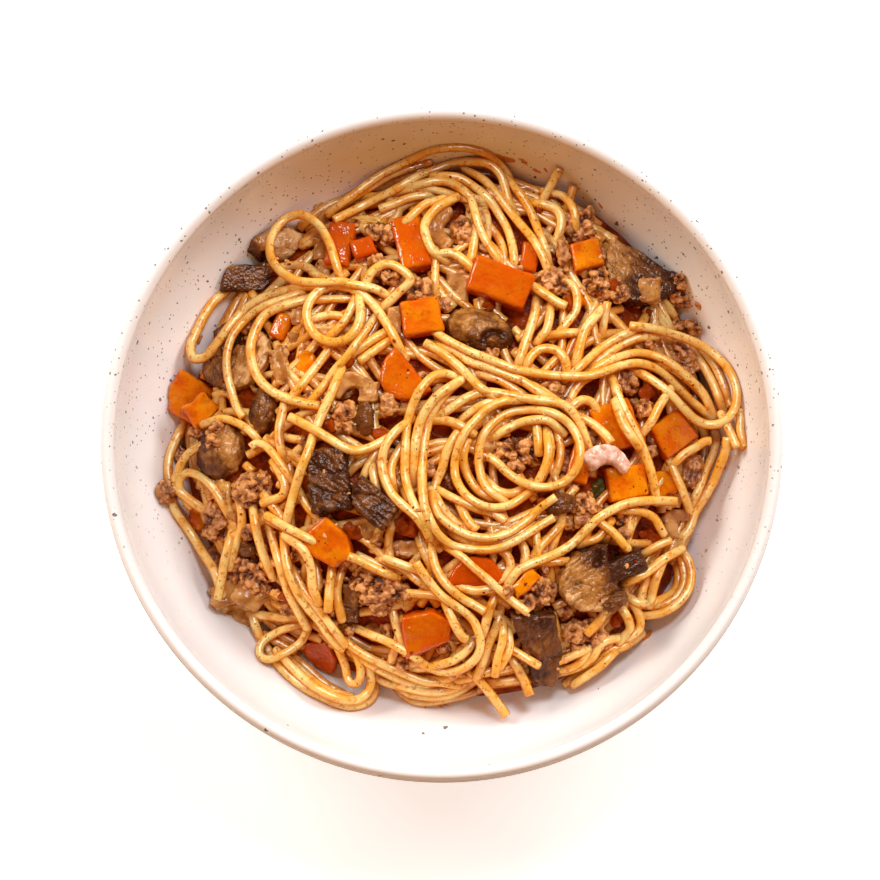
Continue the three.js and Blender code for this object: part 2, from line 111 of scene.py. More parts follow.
# A tucked end starts down some steps before its route ends, eases over the first few
# millimetres, then dives at this slope. No line may end up shorter than some steps.
EASE = 4.0
DIVE = 0.56
STEPS_IN = 5
SHORTEST = 5
CLEAR_OF_GROUND = 0.6
MAY_SINK = 0.5

# The photo looks down from this height angle; places are read on its picture plane, u to
# the right and v away from the viewer, from the middle of the rim
VIEW_ELEVATION = math.radians(81.1)
VIEW_SIN = math.sin(VIEW_ELEVATION)
VIEW_COS = math.cos(VIEW_ELEVATION)

# Height maps of half-millimetre cells, and the heights of nothing and of a look from above
CELL = 0.5
HALF = 100.0
SIDE = int(2 * HALF / CELL) + 1
NOTHING = -100.0
ABOVE_ALL = 80.0


def wall_height(radius):
    across = np.clip(radius - FLOOR_RADIUS, 0, INNER_ARC)
    return ARC_CENTRE_Z - np.sqrt(INNER_ARC**2 - across**2)


def heap_radius(angle):
    return (HEAP_RADIUS + HEAP_SHIFT_RIGHT * np.cos(angle) + HEAP_SHIFT_BACK * np.sin(angle)
            + HEAP_LOBE * np.cos(3 * angle - HEAP_LOBE_TURN))


def heap_top(x, y):
    edge = heap_radius(np.arctan2(y, x))
    part = np.minimum(np.hypot(x, y) / edge, 1)
    low = wall_height(edge) + HEAP_EDGE
    lump = HEAP_LUMP * np.sin(x / HEAP_LUMP_WIDE + 1) * np.sin(y / HEAP_LUMP_DEEP) * (1 - part**2)
    top = low + (HEAP_TOP - low) * (1 - part**3) ** HEAP_FULL + lump
    return np.where(part < 1, top, NOTHING)


def ground_height(x, y):
    return np.maximum(heap_top(x, y), wall_height(np.hypot(x, y)))


# Heights of the ground under the strands, of the ground with the strands on it, and of
# everything with the toppings too
axis = np.linspace(-HALF, HALF, SIDE)
ground = ground_height(*np.meshgrid(axis, axis, indexing="ij"))
without_toppings = ground.copy()
covered = ground.copy()


def cells(values):
    return np.clip(np.rint((np.asarray(values) + HALF) / CELL).astype(int), 0, SIDE - 1)


def cells_round(x, y, radius):
    """Cells near the points of a strand, and how far its skin stands above its middle there."""
    reach = int(radius / CELL)
    dx, dy = np.meshgrid(range(-reach, reach + 1), range(-reach, reach + 1), indexing="ij")
    away = np.hypot(dx, dy) * CELL
    kept = away < radius
    i = np.clip(cells(x)[:, None] + dx[kept], 0, SIDE - 1)
    j = np.clip(cells(y)[:, None] + dy[kept], 0, SIDE - 1)
    return i, j, np.sqrt(radius**2 - away[kept] ** 2)


def rest_height(x, y, radius, heights):
    i, j, cap = cells_round(x, y, radius)
    return (heights[i, j] + cap).max(1) - PRESS


def raise_cells(x, y, z, radius, heights):
    i, j, cap = cells_round(x, y, radius)
    np.maximum.at(heights, (i, j), z[:, None] + cap)


def plan_y(v, z):
    return (v + (RIM_TOP - z) * VIEW_COS) / VIEW_SIN


def seat(u, v, heights, above=0.0):
    """Plan place and height of what is seen at u, v and lies this far above the height map."""
    y = v
    for _ in range(5):
        z = float(heights[cells(u), cells(y)]) + above
        y = plan_y(v, z)
    return u, y, z


def smooth_route(points):
    """An even line through the points, rounded as a soft strand is."""
    p = np.array(points, float)
    if len(p) == 2:
        p = np.array([p[0], (p[0] + p[1]) / 2, p[1]])
    along = np.concatenate([[0], np.cumsum(np.hypot(*np.diff(p, axis=0).T))])
    way = np.empty_like(p)
    way[1:-1] = (p[2:] - p[:-2]) / (along[2:] - along[:-2])[:, None]
    way[0] = (p[1] - p[0]) / along[1] * 1.5 - way[1] * 0.5
    way[-1] = (p[-1] - p[-2]) / (along[-1] - along[-2]) * 1.5 - way[-2] * 0.5
    fine = np.linspace(0, along[-1], max(8, int(along[-1] / FINE_STEP)))
    k = np.clip(np.searchsorted(along, fine, side="right") - 1, 0, len(p) - 2)
    length = (along[k + 1] - along[k])[:, None]
    t = ((fine - along[k]) / length[:, 0])[:, None]
    line = ((2 * t**3 - 3 * t**2 + 1) * p[k] + (t**3 - 2 * t**2 + t) * length * way[k]
            + (3 * t**2 - 2 * t**3) * p[k + 1] + (t**3 - t**2) * length * way[k + 1])
    run = np.concatenate([[0], np.cumsum(np.hypot(*np.diff(line, axis=0).T))])
    even = np.linspace(0, run[-1], max(4, int(run[-1] / STEP) + 1))
    return np.stack([np.interp(even, run, line[:, 0]), np.interp(even, run, line[:, 1])], 1)


def soften(values, reach):
    weights = np.exp(-0.5 * (np.arange(-3 * reach, 3 * reach + 1) / reach) ** 2)
    padded = np.pad(values, 3 * reach, mode="edge")
    return np.convolve(padded, weights / weights.sum(), mode="valid")


def settle(route, ends, radius, pile=PILE):
    """Lays a strand along its route over what is there. A tucked end (t) runs on and dives
    under its neighbours, a cut end (c) lies open."""
    line = smooth_route(route)
    steps = int(TUCK / STEP)
    first, last = 0, len(line)
    if ends[0] == "t":
        way = line[0] - line[min(3, len(line) - 1)]
        way = way / np.hypot(*way)
        line = np.vstack([line[0] + np.arange(steps, 0, -1)[:, None] * STEP * way, line])
        first, last = steps, last + steps
    if ends[1] == "t":
        way = line[-1] - line[max(-4, -len(line))]
        way = way / np.hypot(*way)
        line = np.vstack([line, line[-1] + np.arange(1, steps + 1)[:, None] * STEP * way])
    lead = min(STEPS_IN, (last - first) // 4)
    first += lead if ends[0] == "t" else 0
    last -= lead if ends[1] == "t" else 0
    u, v = line.T
    away = np.maximum(first - np.arange(len(u)), np.arange(len(u)) - last + 1).clip(0) * STEP
    fall = np.where(away < EASE, DIVE * away**2 / (2 * EASE), DIVE * away - DIVE * EASE / 2)
    y = v.copy()
    for _ in range(3):
        base = ground[cells(u), cells(y)]
        rest = np.minimum(rest_height(u, y, radius, covered), base + pile)
        z = rest.copy()
        z[:first], z[last:] = NOTHING, NOTHING
        for i in range(first + 1, last):
            z[i] = max(z[i], z[i - 1] - SLOPE * STEP)
        for i in range(last - 2, first - 1, -1):
            z[i] = max(z[i], z[i + 1] - SLOPE * STEP)
        z[:first], z[last:] = z[first], z[last - 1]
        z = np.maximum(soften(z, 3), np.where(away > 0, NOTHING, rest - MAY_SINK))
        z = np.maximum(soften(z, 2) - fall, base + CLEAR_OF_GROUND)
        y = plan_y(v, z)
    shown = away < EASE
    for heights in (without_toppings, covered):
        raise_cells(u[shown], y[shown], z[shown], radius, heights)
    return np.stack([u, y, z], 1)


# Strands seen in the photo, lowest first. Each starts with its two ends, t tucked or c cut,
# and how much sauce stains it, from 0 to 9.
DULL = [
    ["tt6", (6, -43), (9.5, -44), (14, -43.5)],
    ["tt6", (15.6, -46), (14.1, -49.6), (12.7, -54.5)],
    ["tt7", (34.4, -25.4), (31.5, -28.5), (28.7, -31.4), (26.6, -34.9)],
    ["tt6", (48.3, -25.7), (46, -28.5), (43, -29.7)],
    ["tt5", (27.8, -28.5), (28, -31.4)],
    ["tt5", (30, -35.8), (35, -35.5)],
    ["tt4", (-19.5, -3.5), (-21.5, -7), (-23, -10.5)],
    ["tt4", (-20, -10), (-19.5, -13)],
    ["tt4", (-41.5, -16), (-39, -20), (-36, -23)],
    ["tt5", (-14.5, -49), (-13.8, -53), (-12.5, -57), (-11.5, -60)],
    ["tt5", (-56, -51.6), (-54.3, -56.8), (-52.5, -60)],
    ["tt8", (-54.3, -51.4), (-47.6, -52.2), (-43, -52.2)],
    ["tt3", (-52.5, -16), (-50, -19), (-47.5, -22.3), (-46.8, -24)],
    ["tt6", (-46.5, 10.5), (-47.6, 5.6), (-48, 1), (-47, -4)],
    ["tt3", (-15, -36), (-10.7, -37.8), (-7.8, -40.4), (-5.5, -42)],
    ["tt3", (-9.8, -44.7), (-6.3, -45.1), (-2.6, -45.4), (0, -46.1)],
    ["tt5", (10.1, -57.4), (6.9, -60.3), (5.2, -62)],
    ["tt4", (17.6, -32.3), (19.6, -34.3), (20.2, -37.2), (18.7, -40), (16.7, -41.5)],
    ["tt4", (23.5, -30), (24.6, -33), (24.3, -35.5)],
    ["tt4", (3.8, 55.8), (8.2, 59)],
    ["tt4", (9.7, 60.8), (9.2, 56.5), (8.5, 53.7)],
    ["tt3", (-1.8, 54), (-2, 50), (-2, 45)],
    ["tt4", (30, 20.5), (33, 23.5)],
    ["tt4", (27.5, 28.7), (30, 30.5), (34, 31.5), (40, 32)],
    ["tt3", (-60, -17), (-59, -24), (-60.5, -30), (-62, -35)],
    ["tt3", (-54.5, -51), (-49.5, -55), (-47, -58), (-43.5, -60.3)],
    ["tt4", (-50, -58.8), (-46.2, -61)],
    ["tt4", (-47, -57.9), (-43.8, -59.6)],
]

LOWER_LEFT = [
    ["tt2", (-49, -65.5), (-45, -69.5), (-40, -73.2), (-35, -75.7), (-30, -77.8), (-26, -78.3),
     (-22, -77), (-19.8, -74), (-20.3, -70.5), (-21.5, -68)],
    ["tt5", (-43.8, -64), (-39.8, -67.4), (-35.5, -71.2), (-31.2, -73.8)],
    ["tt3", (-45.5, -64.5), (-42, -67.5), (-38, -71), (-33, -74), (-29.5, -75)],
    ["tt1", (-47, -64), (-43, -68), (-38, -72.2), (-33, -75), (-28, -76.5), (-24, -76),
     (-21.3, -73), (-21, -69), (-22.5, -65), (-25, -62.5)],
    ["tt2", (-33.5, -56), (-30.5, -61.5), (-28.5, -66.5), (-27.8, -70), (-26.4, -71.8),
     (-24.4, -70.8), (-24, -67), (-25.6, -62.5), (-28, -58.5)],
    ["tt5", (-21.3, -67.5), (-17.8, -70.7), (-14.3, -72.1)],
    ["tt2", (-13.5, -73), (-10.6, -75.6), (-7.7, -77.1), (-4.2, -77.3), (-0.5, -76.8),
     (3.8, -75.9), (7.6, -75), (11.1, -73.6)],
    ["tt2", (-13, -72.5), (-10, -74.5), (-6.3, -75.3), (-1.9, -75.6), (2.4, -75), (6.1, -73.3),
     (9, -71.3)],
    ["tt1", (-15, -71.3), (-10.6, -72.7), (-4.8, -73.9), (-0.5, -74), (3.8, -73), (7.6, -70.7)],
    ["tt3", (12.3, -68.4), (15.8, -67.8), (19.5, -67)],
    ["tt3", (14.9, -71), (18.7, -71), (22.4, -70.4)],
    ["tc2", (20.4, -63.8), (22.4, -67), (24.1, -70.4), (25.9, -75)],
    ["tt3", (21.3, -61.8), (25.9, -64.6)],
    ["tt2", (19.8, -58), (19.8, -61.5), (18.4, -64.3)],
    ["tt3", (17.2, -50.2), (16.2, -54.5), (14, -59.2), (12.9, -63.2), (11.4, -67)],
    ["tt2", (18.1, -55.1), (17.8, -59.2), (16.6, -63.2), (16.1, -66.1)],
    ["tc3", (1.4, -48.7), (3.5, -53.3), (5.8, -57.4), (7.5, -58.5)],
    ["tt2", (-25, -63.5), (-19.8, -66.7), (-13.5, -69.9), (-7.7, -71.9), (-0.5, -72.8)],
    ["tt1", (-30, -57.5), (-25, -61.8), (-19.2, -65), (-13.5, -67.6), (-8.8, -69.6), (-4.8, -71),
     (0, -71.3), (2.4, -71.8)],
    ["tc1", (8.2, -67.8), (10.5, -70.1), (13.3, -73.3), (16.2, -77), (19.1, -81.1)],
    ["tt2", (-0.5, -65.8), (3.8, -64.4), (7.3, -61.8), (9.3, -58.9)],
    ["tt1", (-62.2, -28), (-63.5, -33), (-64.5, -37.5), (-65.3, -42), (-66, -45.5)],
    ["tt2", (-55.5, -21), (-54.5, -27), (-52.8, -33), (-50.8, -38)],
    ["tt3", (-29.3, -38), (-30.5, -42), (-30.8, -46), (-30, -50)],
    ["tt2", (-32.5, -39), (-33, -43), (-33.3, -47)],
    ["tt2", (-37, -36), (-36.5, -40), (-36.3, -43), (-37.5, -46)],
    ["tt1", (-44, -29.4), (-41.2, -31.5), (-39.2, -35), (-38.3, -39), (-38.2, -42.5),
     (-37.2, -45.3)],
    ["tt1", (-49, -23.5), (-45.5, -25.5), (-42, -27.3), (-39, -28.8)],
    ["tt1", (-41.2, -54.1), (-45.6, -55.3), (-49, -56.7), (-52.5, -59), (-53.9, -61.3),
     (-53.4, -63.7), (-51.3, -64.5), (-48.5, -63.7), (-45, -61.9), (-41.8, -59.6), (-39.8, -56.1),
     (-39.2, -53)],
    ["tt2", (-44.5, -37), (-42.5, -41), (-40, -45), (-37.5, -48), (-34.5, -52), (-30, -58)],
    ["tt1", (-52.1, -22.8), (-50.1, -28.5), (-48.4, -34.3), (-46.9, -39.5), (-45.2, -44.7),
     (-43.2, -48.7), (-41, -52.8)],
    ["tc0", (-46.5, -27.5), (-46.2, -32), (-45.5, -36.5), (-44.3, -40.5), (-42.2, -45),
     (-39.5, -49), (-36, -53), (-33.5, -57), (-31, -60), (-28.7, -61.5)],
    ["ct1", (-27.5, -33.8), (-24, -35.3), (-20, -37.3), (-15.5, -39.3)],
    ["tt2", (-14, -35.5), (-10, -37)],
    ["tc0", (-31.5, -55), (-27, -54.8), (-20.7, -57.2), (-16.3, -58.9), (-12, -61.2),
     (-7.7, -63.8), (-4.8, -66.1), (-0.5, -67.8), (3.8, -67.8), (7.6, -66.1), (10.5, -63.2),
     (11.4, -59.7), (10.5, -55.4), (9, -52.5), (7.2, -50.7), (3.8, -48.2), (0.3, -45.8),
     (-2.6, -42.7), (-5.5, -38.9), (-7.5, -35.7)],
]

LOWER_RIGHT = [
    ["tc2", (56.9, -58.5), (53.2, -60.8), (50.4, -61.5), (47.5, -64), (43.2, -67.5),
     (38.8, -70.1), (36, -72.1)],
    ["tt4", (49.5, -63.8), (46.1, -67), (41.2, -70.4)],
    ["tt2", (40.3, -62.6), (36, -64.4)],
    ["tt2", (43.5, -60.9), (41.7, -64.4), (38.8, -66.7), (35.4, -67.5)],
    ["tt1", (52, -58.3), (49.8, -58.6), (46.9, -60), (44.6, -63.8), (41.2, -66.4), (36, -68.1)],
    ["tt3", (47.7, -50.5), (46.8, -52.5), (45, -54.5)],
    ["tt1", (53.2, -49.6), (54.9, -52.5), (55.5, -55.4), (54, -57.4)],
    ["tt1", (54.3, -46), (57.2, -49.3), (58.6, -53.2), (58, -56), (55.7, -57.9), (52.8, -58)],
    ["tt2", (69.5, -37), (70, -40.3), (69.1, -43.8), (66.8, -45.8), (62.8, -47.5),
     (58.1, -47.8), (55, -45.8)],
    ["tt2", (70, -33), (71.1, -36), (71.7, -40.3), (70.8, -43.8), (68.5, -46.7), (65.1, -48.4),
     (61.6, -49), (58.7, -48.7)],
    ["tt1", (70.8, -32.5), (72.9, -35.4), (73.7, -39.2), (73.2, -43.2), (71.4, -46.1),
     (68.8, -48.7), (65.1, -50.7), (61.6, -51.4), (59.3, -51.6)],
    ["tt2", (60.8, -40.3), (59.6, -43.2), (59, -45.8)],
    ["tt2", (64.5, -37.4), (63.3, -40.3), (62.2, -44.3), (61.9, -46.1)],
    ["tt1", (68.5, -33.1), (65.1, -35.1), (62.2, -37.4), (59.3, -39.4), (56.1, -40.9)],
    ["ct1", (67.7, -29.3), (64.5, -30.5), (60.5, -32.8)],
    ["tt2", (47.7, -24.8), (50.6, -27.1), (52.9, -29.7)],
    ["tt1", (54, -20.5), (58.4, -20.8), (62.4, -22.5), (64.1, -25.1)],
]

TOP_ARCH = [
    ["ct2", (34.8, 80.8), (32.5, 76), (30.5, 72.5), (29.5, 70)],
    ["ct2", (39, 75.5), (38, 72), (37.5, 70)],
    ["tt2", (-30, 69.5), (-22, 75), (-14, 79.3), (-6, 82)],
    ["tt1", (-31.5, 69), (-25, 74), (-18, 79), (-10, 83), (-3, 86.2), (3, 87), (8, 86.8),
     (13, 85.3), (17, 82.3), (19.5, 79), (20.5, 76)],
    ["tt2", (-12, 74), (-6, 75), (0, 73.8), (6, 72), (11, 70.8), (14, 70)],
    ["ct2", (-18.5, 68.7), (-14, 70.3), (-9, 72.2), (-4, 72.8)],
    ["tt3", (-7, 75.8), (-2, 77), (2, 76.8), (6, 74.5), (9, 72), (11, 71.5)],
    ["tt2", (-9, 66.5), (-5, 70), (-2, 71)],
    ["tt2", (2, 71), (-2, 68.5), (-5, 64), (-4.5, 60), (-2.5, 56), (-0.5, 54.5)],
    ["tt3", (-1, 55), (3, 55.5), (7, 53), (9, 51)],
    ["tt2", (27, 70.5), (31, 69.8), (34.2, 68.3), (35.4, 65.3), (34.7, 61.3), (33.5, 58.5)],
    ["tt2", (32.5, 73.5), (35.5, 72.8), (38, 70.5), (39.5, 67), (39.5, 65.5)],
    ["tt2", (20.7, 76.3), (23.7, 72.5), (26.3, 68), (28.3, 63), (30, 58.5), (31.3, 54)],
    ["tt1", (9, 79.5), (13, 77), (16, 73.5), (19, 69.5), (23, 64.5), (27, 59.5), (30, 54),
     (31.3, 50.5)],
    ["tt2", (9.5, 68.8), (10.7, 64.5), (12.5, 60), (15, 56), (17.5, 52.3)],
    ["tt1", (0, 78.5), (5, 78), (10, 75), (14, 71.5), (17, 67), (19.5, 62.5), (21, 57),
     (21.5, 51)],
    ["ct0", (-32, 65.5), (-27, 68), (-20, 71.5), (-14, 74.5), (-8, 78), (-2, 80.5), (4, 82.5),
     (10, 82.8), (14, 82), (17, 79.5), (18.5, 76), (19.5, 72), (21, 69)],
]

UPPER_LEFT = [
    ["tt1", (-65.2, 43.6), (-67.8, 41.2), (-70.3, 37.5), (-72.5, 33), (-74.5, 28), (-73.5, 24.5),
     (-70, 25), (-66.5, 29), (-62, 35), (-57, 40), (-52, 42.8), (-45, 44.7), (-40, 45.3),
     (-35, 46)],
    ["ct1", (-58.5, 7), (-60.3, 9.3), (-62, 14.5), (-63.4, 20), (-63.5, 26), (-62, 31),
     (-59, 35), (-55, 38.5), (-51, 40.5), (-46, 42.3), (-41, 44)],
    ["ct1", (-35.9, 10.3), (-40.5, 11.1), (-45, 12.3), (-49.6, 14.3), (-53.4, 17.6),
     (-55.7, 22), (-56.5, 28), (-55, 33), (-52.5, 37), (-48, 39.5), (-43, 41), (-38, 42.5)],
    ["tt3", (-38, 41.7), (-30, 42), (-26.5, 42)],
    ["tt2", (-38, 36), (-33, 37.2), (-28.5, 36.5)],
    ["tt2", (-33, 31), (-29, 35), (-26.5, 39.5), (-25.5, 42)],
    ["ct1", (-24.3, 23.5), (-20, 26.6), (-16.5, 29)],
    ["tt2", (-24.5, 27), (-21.5, 29.2), (-18.5, 31)],
    ["tt2", (-32, 28.5), (-35.5, 24), (-39, 19.5), (-43.5, 14)],
    ["tt1", (-20.5, 35.5), (-24, 30.5), (-27.5, 25.5), (-31.5, 21), (-35, 16), (-38, 12.5)],
    ["tt0", (-12, 26.5), (-14.5, 31.5), (-17.5, 36.5), (-21, 41), (-25.5, 44.5), (-31, 46),
     (-36, 44.5), (-39.3, 40.5), (-39.8, 36), (-37.5, 31.5), (-33, 29.2), (-28.5, 29.8),
     (-25.2, 33), (-24, 37), (-24.3, 41)],
    ["tt0", (-29.5, 47), (-31.5, 53), (-33.5, 59), (-37, 64.5), (-42, 67.2), (-47, 65.5),
     (-50.5, 60.5), (-50.8, 55), (-48, 50.5), (-43, 47.5), (-37, 46.8), (-30, 47), (-25, 46),
     (-20, 45), (-16.5, 43.2)],
    ["tt1", (-22.5, 46), (-20.5, 50), (-16, 52.3), (-11.5, 50.3), (-9.3, 47.5), (-12.5, 44),
     (-18, 38.8)],
    ["tt1", (-30.5, 19), (-33, 13), (-35.3, 8), (-37.3, 3), (-39.3, -3), (-41.3, -8),
     (-43, -13.5), (-44.3, -18), (-45.5, -23)],
]

LEFT = [
    ["tt2", (-70, -0.8), (-74, -3), (-76.5, -5.7), (-78, -9)],
    ["tt1", (-77, 4), (-79, 0), (-80.8, -5), (-81, -10), (-80, -16), (-79.3, -20), (-75.9, -25.1),
     (-73, -29.4), (-70.1, -34), (-67.2, -38.4), (-65.5, -43.5)],
    ["tt1", (-76, -17), (-77.7, -13.5), (-77, -10.5), (-75, -9.3), (-72, -10.2), (-69, -12.4),
     (-66.5, -15.5), (-64, -20)],
    ["tt2", (-77.5, -15), (-74.5, -17.5), (-71, -20)],
    ["tt2", (-68, 5.8), (-65, 6.6), (-61.5, 5.8), (-58, 4), (-55.5, 1.8), (-54, 0)],
    ["tt2", (-48.3, -8.5), (-46.9, -11), (-46.2, -13.8), (-47.1, -16.2), (-50, -17.4)],
    ["ct1", (-56.3, -1.8), (-54.6, -0.7), (-52.6, -1.1), (-50.2, -3.2), (-47.1, -7.3),
     (-44.3, -11.3)],
    ["ct0", (-45, 7.2), (-41, 5.2), (-37, 3), (-33, 0.6), (-29.5, -1.5), (-26, -2.9),
     (-22, -2.3), (-18.5, -0.7), (-16, 0.7)],
]

RIGHT = [
    ["tt3", (88.3, 6.5), (88.2, 3), (88.7, 1)],
    ["tc1", (83.8, 5.5), (85.5, 2), (87.2, -2)],
    ["tt1", (80.5, 4), (81.2, 0), (80, -4.5), (78, -9), (76, -14), (73.8, -18.5)],
    ["ct1", (84.3, 1), (83.8, -3), (82.3, -7), (80.5, -11.5), (78, -16), (75, -20.8),
     (73.2, -25.9), (71.1, -28.5), (70.3, -30.5)],
    ["tt2", (67.8, -7), (69, -10), (70.8, -14), (72.3, -18)],
    ["ct1", (79.5, 0), (77.6, -0.2), (75, -1.9), (71.8, -3.7), (68.8, -6.5)],
    ["tt2", (59.3, 2.5), (62, 6), (64, 10), (66, 13)],
    ["tt1", (50.5, 17.5), (52.5, 12), (55.3, 6), (58, 0.5), (60.3, -5), (62, -10.5),
     (63, -15.5)],
    ["tt3", (52, 9), (53.5, 5), (56.5, 0.5)],
    ["tt2", (78, 26), (81, 22), (83, 17.5), (84.5, 13)],
    ["tt2", (75.5, 25), (78.3, 20.8), (80.7, 16), (82.7, 10.5)],
    ["tt2", (28, 42), (27, 36), (25, 30), (23, 24), (22.5, 21.5)],
    ["tt2", (32, 38), (31, 33), (29.5, 31)],
    ["tc2", (28, 45), (31, 43), (34, 41), (36.7, 39.7)],
    ["tt2", (36, 47), (39, 45.5), (40, 42), (39.5, 38.5), (37, 35), (34, 31.5)],
    ["ct2", (49, 41), (48.2, 37), (47.5, 32.5)],
    ["tt2", (45.5, 37), (42.5, 33.3), (41, 29), (39.7, 24), (38.5, 21)],
    ["tt1", (25, 21), (26, 24.5), (29, 27), (33, 27), (36, 24.5), (36.8, 21)],
    ["tt2", (37.4, 10.8), (38.8, 14.2), (41.2, 17.4), (43, 18.5)],
    ["tc2", (38, 7.8), (41, 6.8), (44.5, 5), (48, 2), (50, -0.6)],
    ["tt2", (38, 9.5), (41, 12), (44, 11.5), (45.5, 9.5)],
    ["tt2", (43, 20.8), (48, 25), (53, 28.3), (58, 30.5), (61, 30.8)],
    ["tt2", (38, 19.5), (42, 23), (46, 26.7), (51, 30), (57, 32.8)],
    ["tt1", (62, 23.5), (67, 21.8), (72, 18.5), (76, 15), (79, 11), (80.5, 8)],
    ["tt1", (43, 20), (48, 23), (53, 25), (58, 26), (64, 24.8), (69, 22), (73, 18.5),
     (77, 14.5), (79.5, 9.5)],
    ["tt3", (12, 19.5), (17, 18), (21, 15.5), (25, 13)],
    ["tt2", (20, 18.5), (25, 17), (29, 15), (32, 13)],
    ["tt1", (-1, 28), (4, 26.3), (8, 23.5), (14, 21.5), (19, 19.5), (24, 17.5), (28, 14.8),
     (31, 13)],
    ["tt0", (-1, 31.5), (3, 29), (8, 26.5), (13, 24.5), (18, 22.5), (22, 21), (28, 20),
     (35, 19.2), (43, 19.2), (48, 20.5), (53, 22.3), (58, 23), (62, 22), (66, 19.5),
     (70, 15.5), (74.5, 11.3), (79, 7.5)],
    ["ct0", (55.5, 34), (61, 33.5), (67, 32), (73, 30), (78, 27.5), (83, 23.5), (86, 19),
     (87.3, 13.5), (86, 8.5), (83, 5.5), (79, 4.8), (75, 6.3), (71.5, 9.5), (68, 13.3),
     (64, 16.7), (60, 19.3), (57.5, 20.5)],
]

NEST = [
    ["tc3", (-5.5, -18.7), (-4.3, -24.5), (-2.6, -28.5), (0, -32.3)],
    ["tt3", (-10, -17), (-8.4, -20.2), (-6.1, -23.3), (-4.6, -26.2)],
    ["tt2", (2.3, -26.5), (5.2, -28.5), (9.5, -29.7), (13.8, -29.7), (18.2, -29.4), (22, -27.5),
     (26, -25.5)],
    ["tt2", (-12, -2), (-14.3, -6), (-15, -9), (-14.5, -12.5)],
    ["tt2", (5.5, 3.5), (3, 0), (1.2, -4), (0, -8.5), (-1.8, -12.5), (-2.7, -17), (-2.2, -21),
     (-0.5, -25)],
    ["tt3", (-1.5, -17), (0.5, -20.5), (3.5, -23.5), (7, -26)],
    ["tc2", (6.3, -20.8), (7.8, -23.6), (10.4, -26.2)],
    ["tc1", (-2.6, -17), (-1.2, -21.3), (1.2, -23.9), (4.6, -26.2), (8.1, -27.7), (12.4, -28.5),
     (16.7, -28.1), (21.1, -26.2), (25.4, -23.1), (28.3, -20.2), (33.5, -16.5)],
    ["tc1", (-5.5, -17), (-3.5, -22.8), (-1.4, -26.8), (1.2, -29.4), (3.8, -30.9), (8.1, -31.7),
     (12.4, -32), (16.7, -31.4), (21.1, -29.7), (25.4, -27.1), (30, -24.2), (33, -22.5)],
    ["tt2", (6, 18), (2.5, 15.5), (-0.5, 12), (-3.2, 7.5), (-4.8, 2), (-5.6, -4), (-5.8, -10),
     (-5.6, -15), (-5, -20), (-4, -25)],
    ["tt1", (3.5, 16.5), (-1, 13.5), (-4, 10), (-6.2, 6), (-7.5, 1), (-8.2, -4), (-8.5, -10)],
    ["tt0", (4.5, 18.5), (1, 19.8), (-2.5, 19), (-5.5, 16.2), (-8, 12), (-9.7, 7), (-10.5, 2),
     (-10.8, -4), (-10.8, -10), (-9.6, -15), (-7.5, -20), (-5, -25)],
    ["tt0", (-10.8, 5), (-14, 2.4), (-16.6, -1.5), (-17.6, -6), (-17, -10.5), (-15, -15),
     (-12, -18.4), (-8, -21.8), (-5.5, -25)],
    ["tt3", (-2.5, 6), (1, 6), (4.5, 5), (7, 3.5)],
    ["tc2", (-1, -14.5), (2.5, -16.3), (6.5, -18.2), (10.5, -20), (15, -21.3), (18.8, -23.6)],
    ["tt2", (27.8, 5), (28.2, 2), (28.4, -1)],
    ["tt2", (30.5, 4.5), (31.8, 0), (31.6, -4.5), (30, -9), (28.5, -12)],
    ["tt1", (31.8, 5), (34, 1.8), (35, -2), (34.6, -6), (33, -10.5)],
    ["tt2", (16, 1.5), (19, 3.4), (23, 5.3), (27.5, 6.2), (31.5, 6), (34, 4)],
    ["tt2", (14, -12.5), (17, -15), (21, -15.5), (24.5, -13.5)],
    ["tt2", (8, 0.5), (6.3, -4), (7, -8.5), (9, -12.5), (12, -15.5), (16, -17.2)],
    ["tt1", (5.5, 5.8), (8.5, 8.5), (12, 10.6), (16, 12)],
    ["tt0", (-0.5, 7.5), (2.5, 9.6), (6, 12), (10, 13.8), (14, 14.4), (18, 13.8), (22, 13),
     (27, 12.2), (32, 11.6), (35, 11), (38, 9), (40.5, 5.5), (42, 1.5), (43.5, -2.5)],
    ["tt0", (22, 12), (18, 11.7), (14, 9.9), (10.5, 6.8), (7, 2.7), (4.8, -2), (3.8, -6.5),
     (4.2, -11), (6.7, -15.4), (10.5, -18.3), (15, -19.6), (19.5, -19), (23.5, -16.8),
     (27, -13.8), (30, -8.5), (31.3, -4), (31, 1)],
    ["ct0", (13.5, -4.5), (16.5, -6.5), (19.5, -9.5), (23.5, -12), (28, -13.5), (33, -13.3),
     (37, -11.3), (40, -7.3), (40.8, -3), (40, 1), (37.5, 5), (33.5, 7.8), (29, 9.1),
     (24.5, 9.1), (19.5, 8.2), (15, 5.3), (12, 1.3), (10.9, -3.5), (11.2, -8.5), (13, -13.5),
     (16.5, -16.5)],
    ["ct1", (-5, 29), (0, 26), (5, 22), (8.5, 18.5), (11, 16), (14, 14)],
    ["tc2", (-2.9, -31.4), (-2.3, -35.5), (-0.6, -39.5), (2.3, -43.2), (5.8, -46.1),
     (9.5, -48.2), (12.7, -50.2)],
    ["tc0", (2.3, -31.7), (5.8, -34), (10.1, -37.8), (13.8, -40.9), (17.3, -44.1),
     (21.1, -47.3), (25.4, -50.5)],
    ["ct0", (69.3, -17.8), (65, -17.6), (60.4, -17.6), (54.6, -18.4), (50.3, -20.2),
     (46, -22.8), (42.5, -26.2), (38.7, -30), (35.3, -32.3), (31, -34.3), (25.8, -36.3),
     (22.3, -38.3), (20, -41.5)],
]


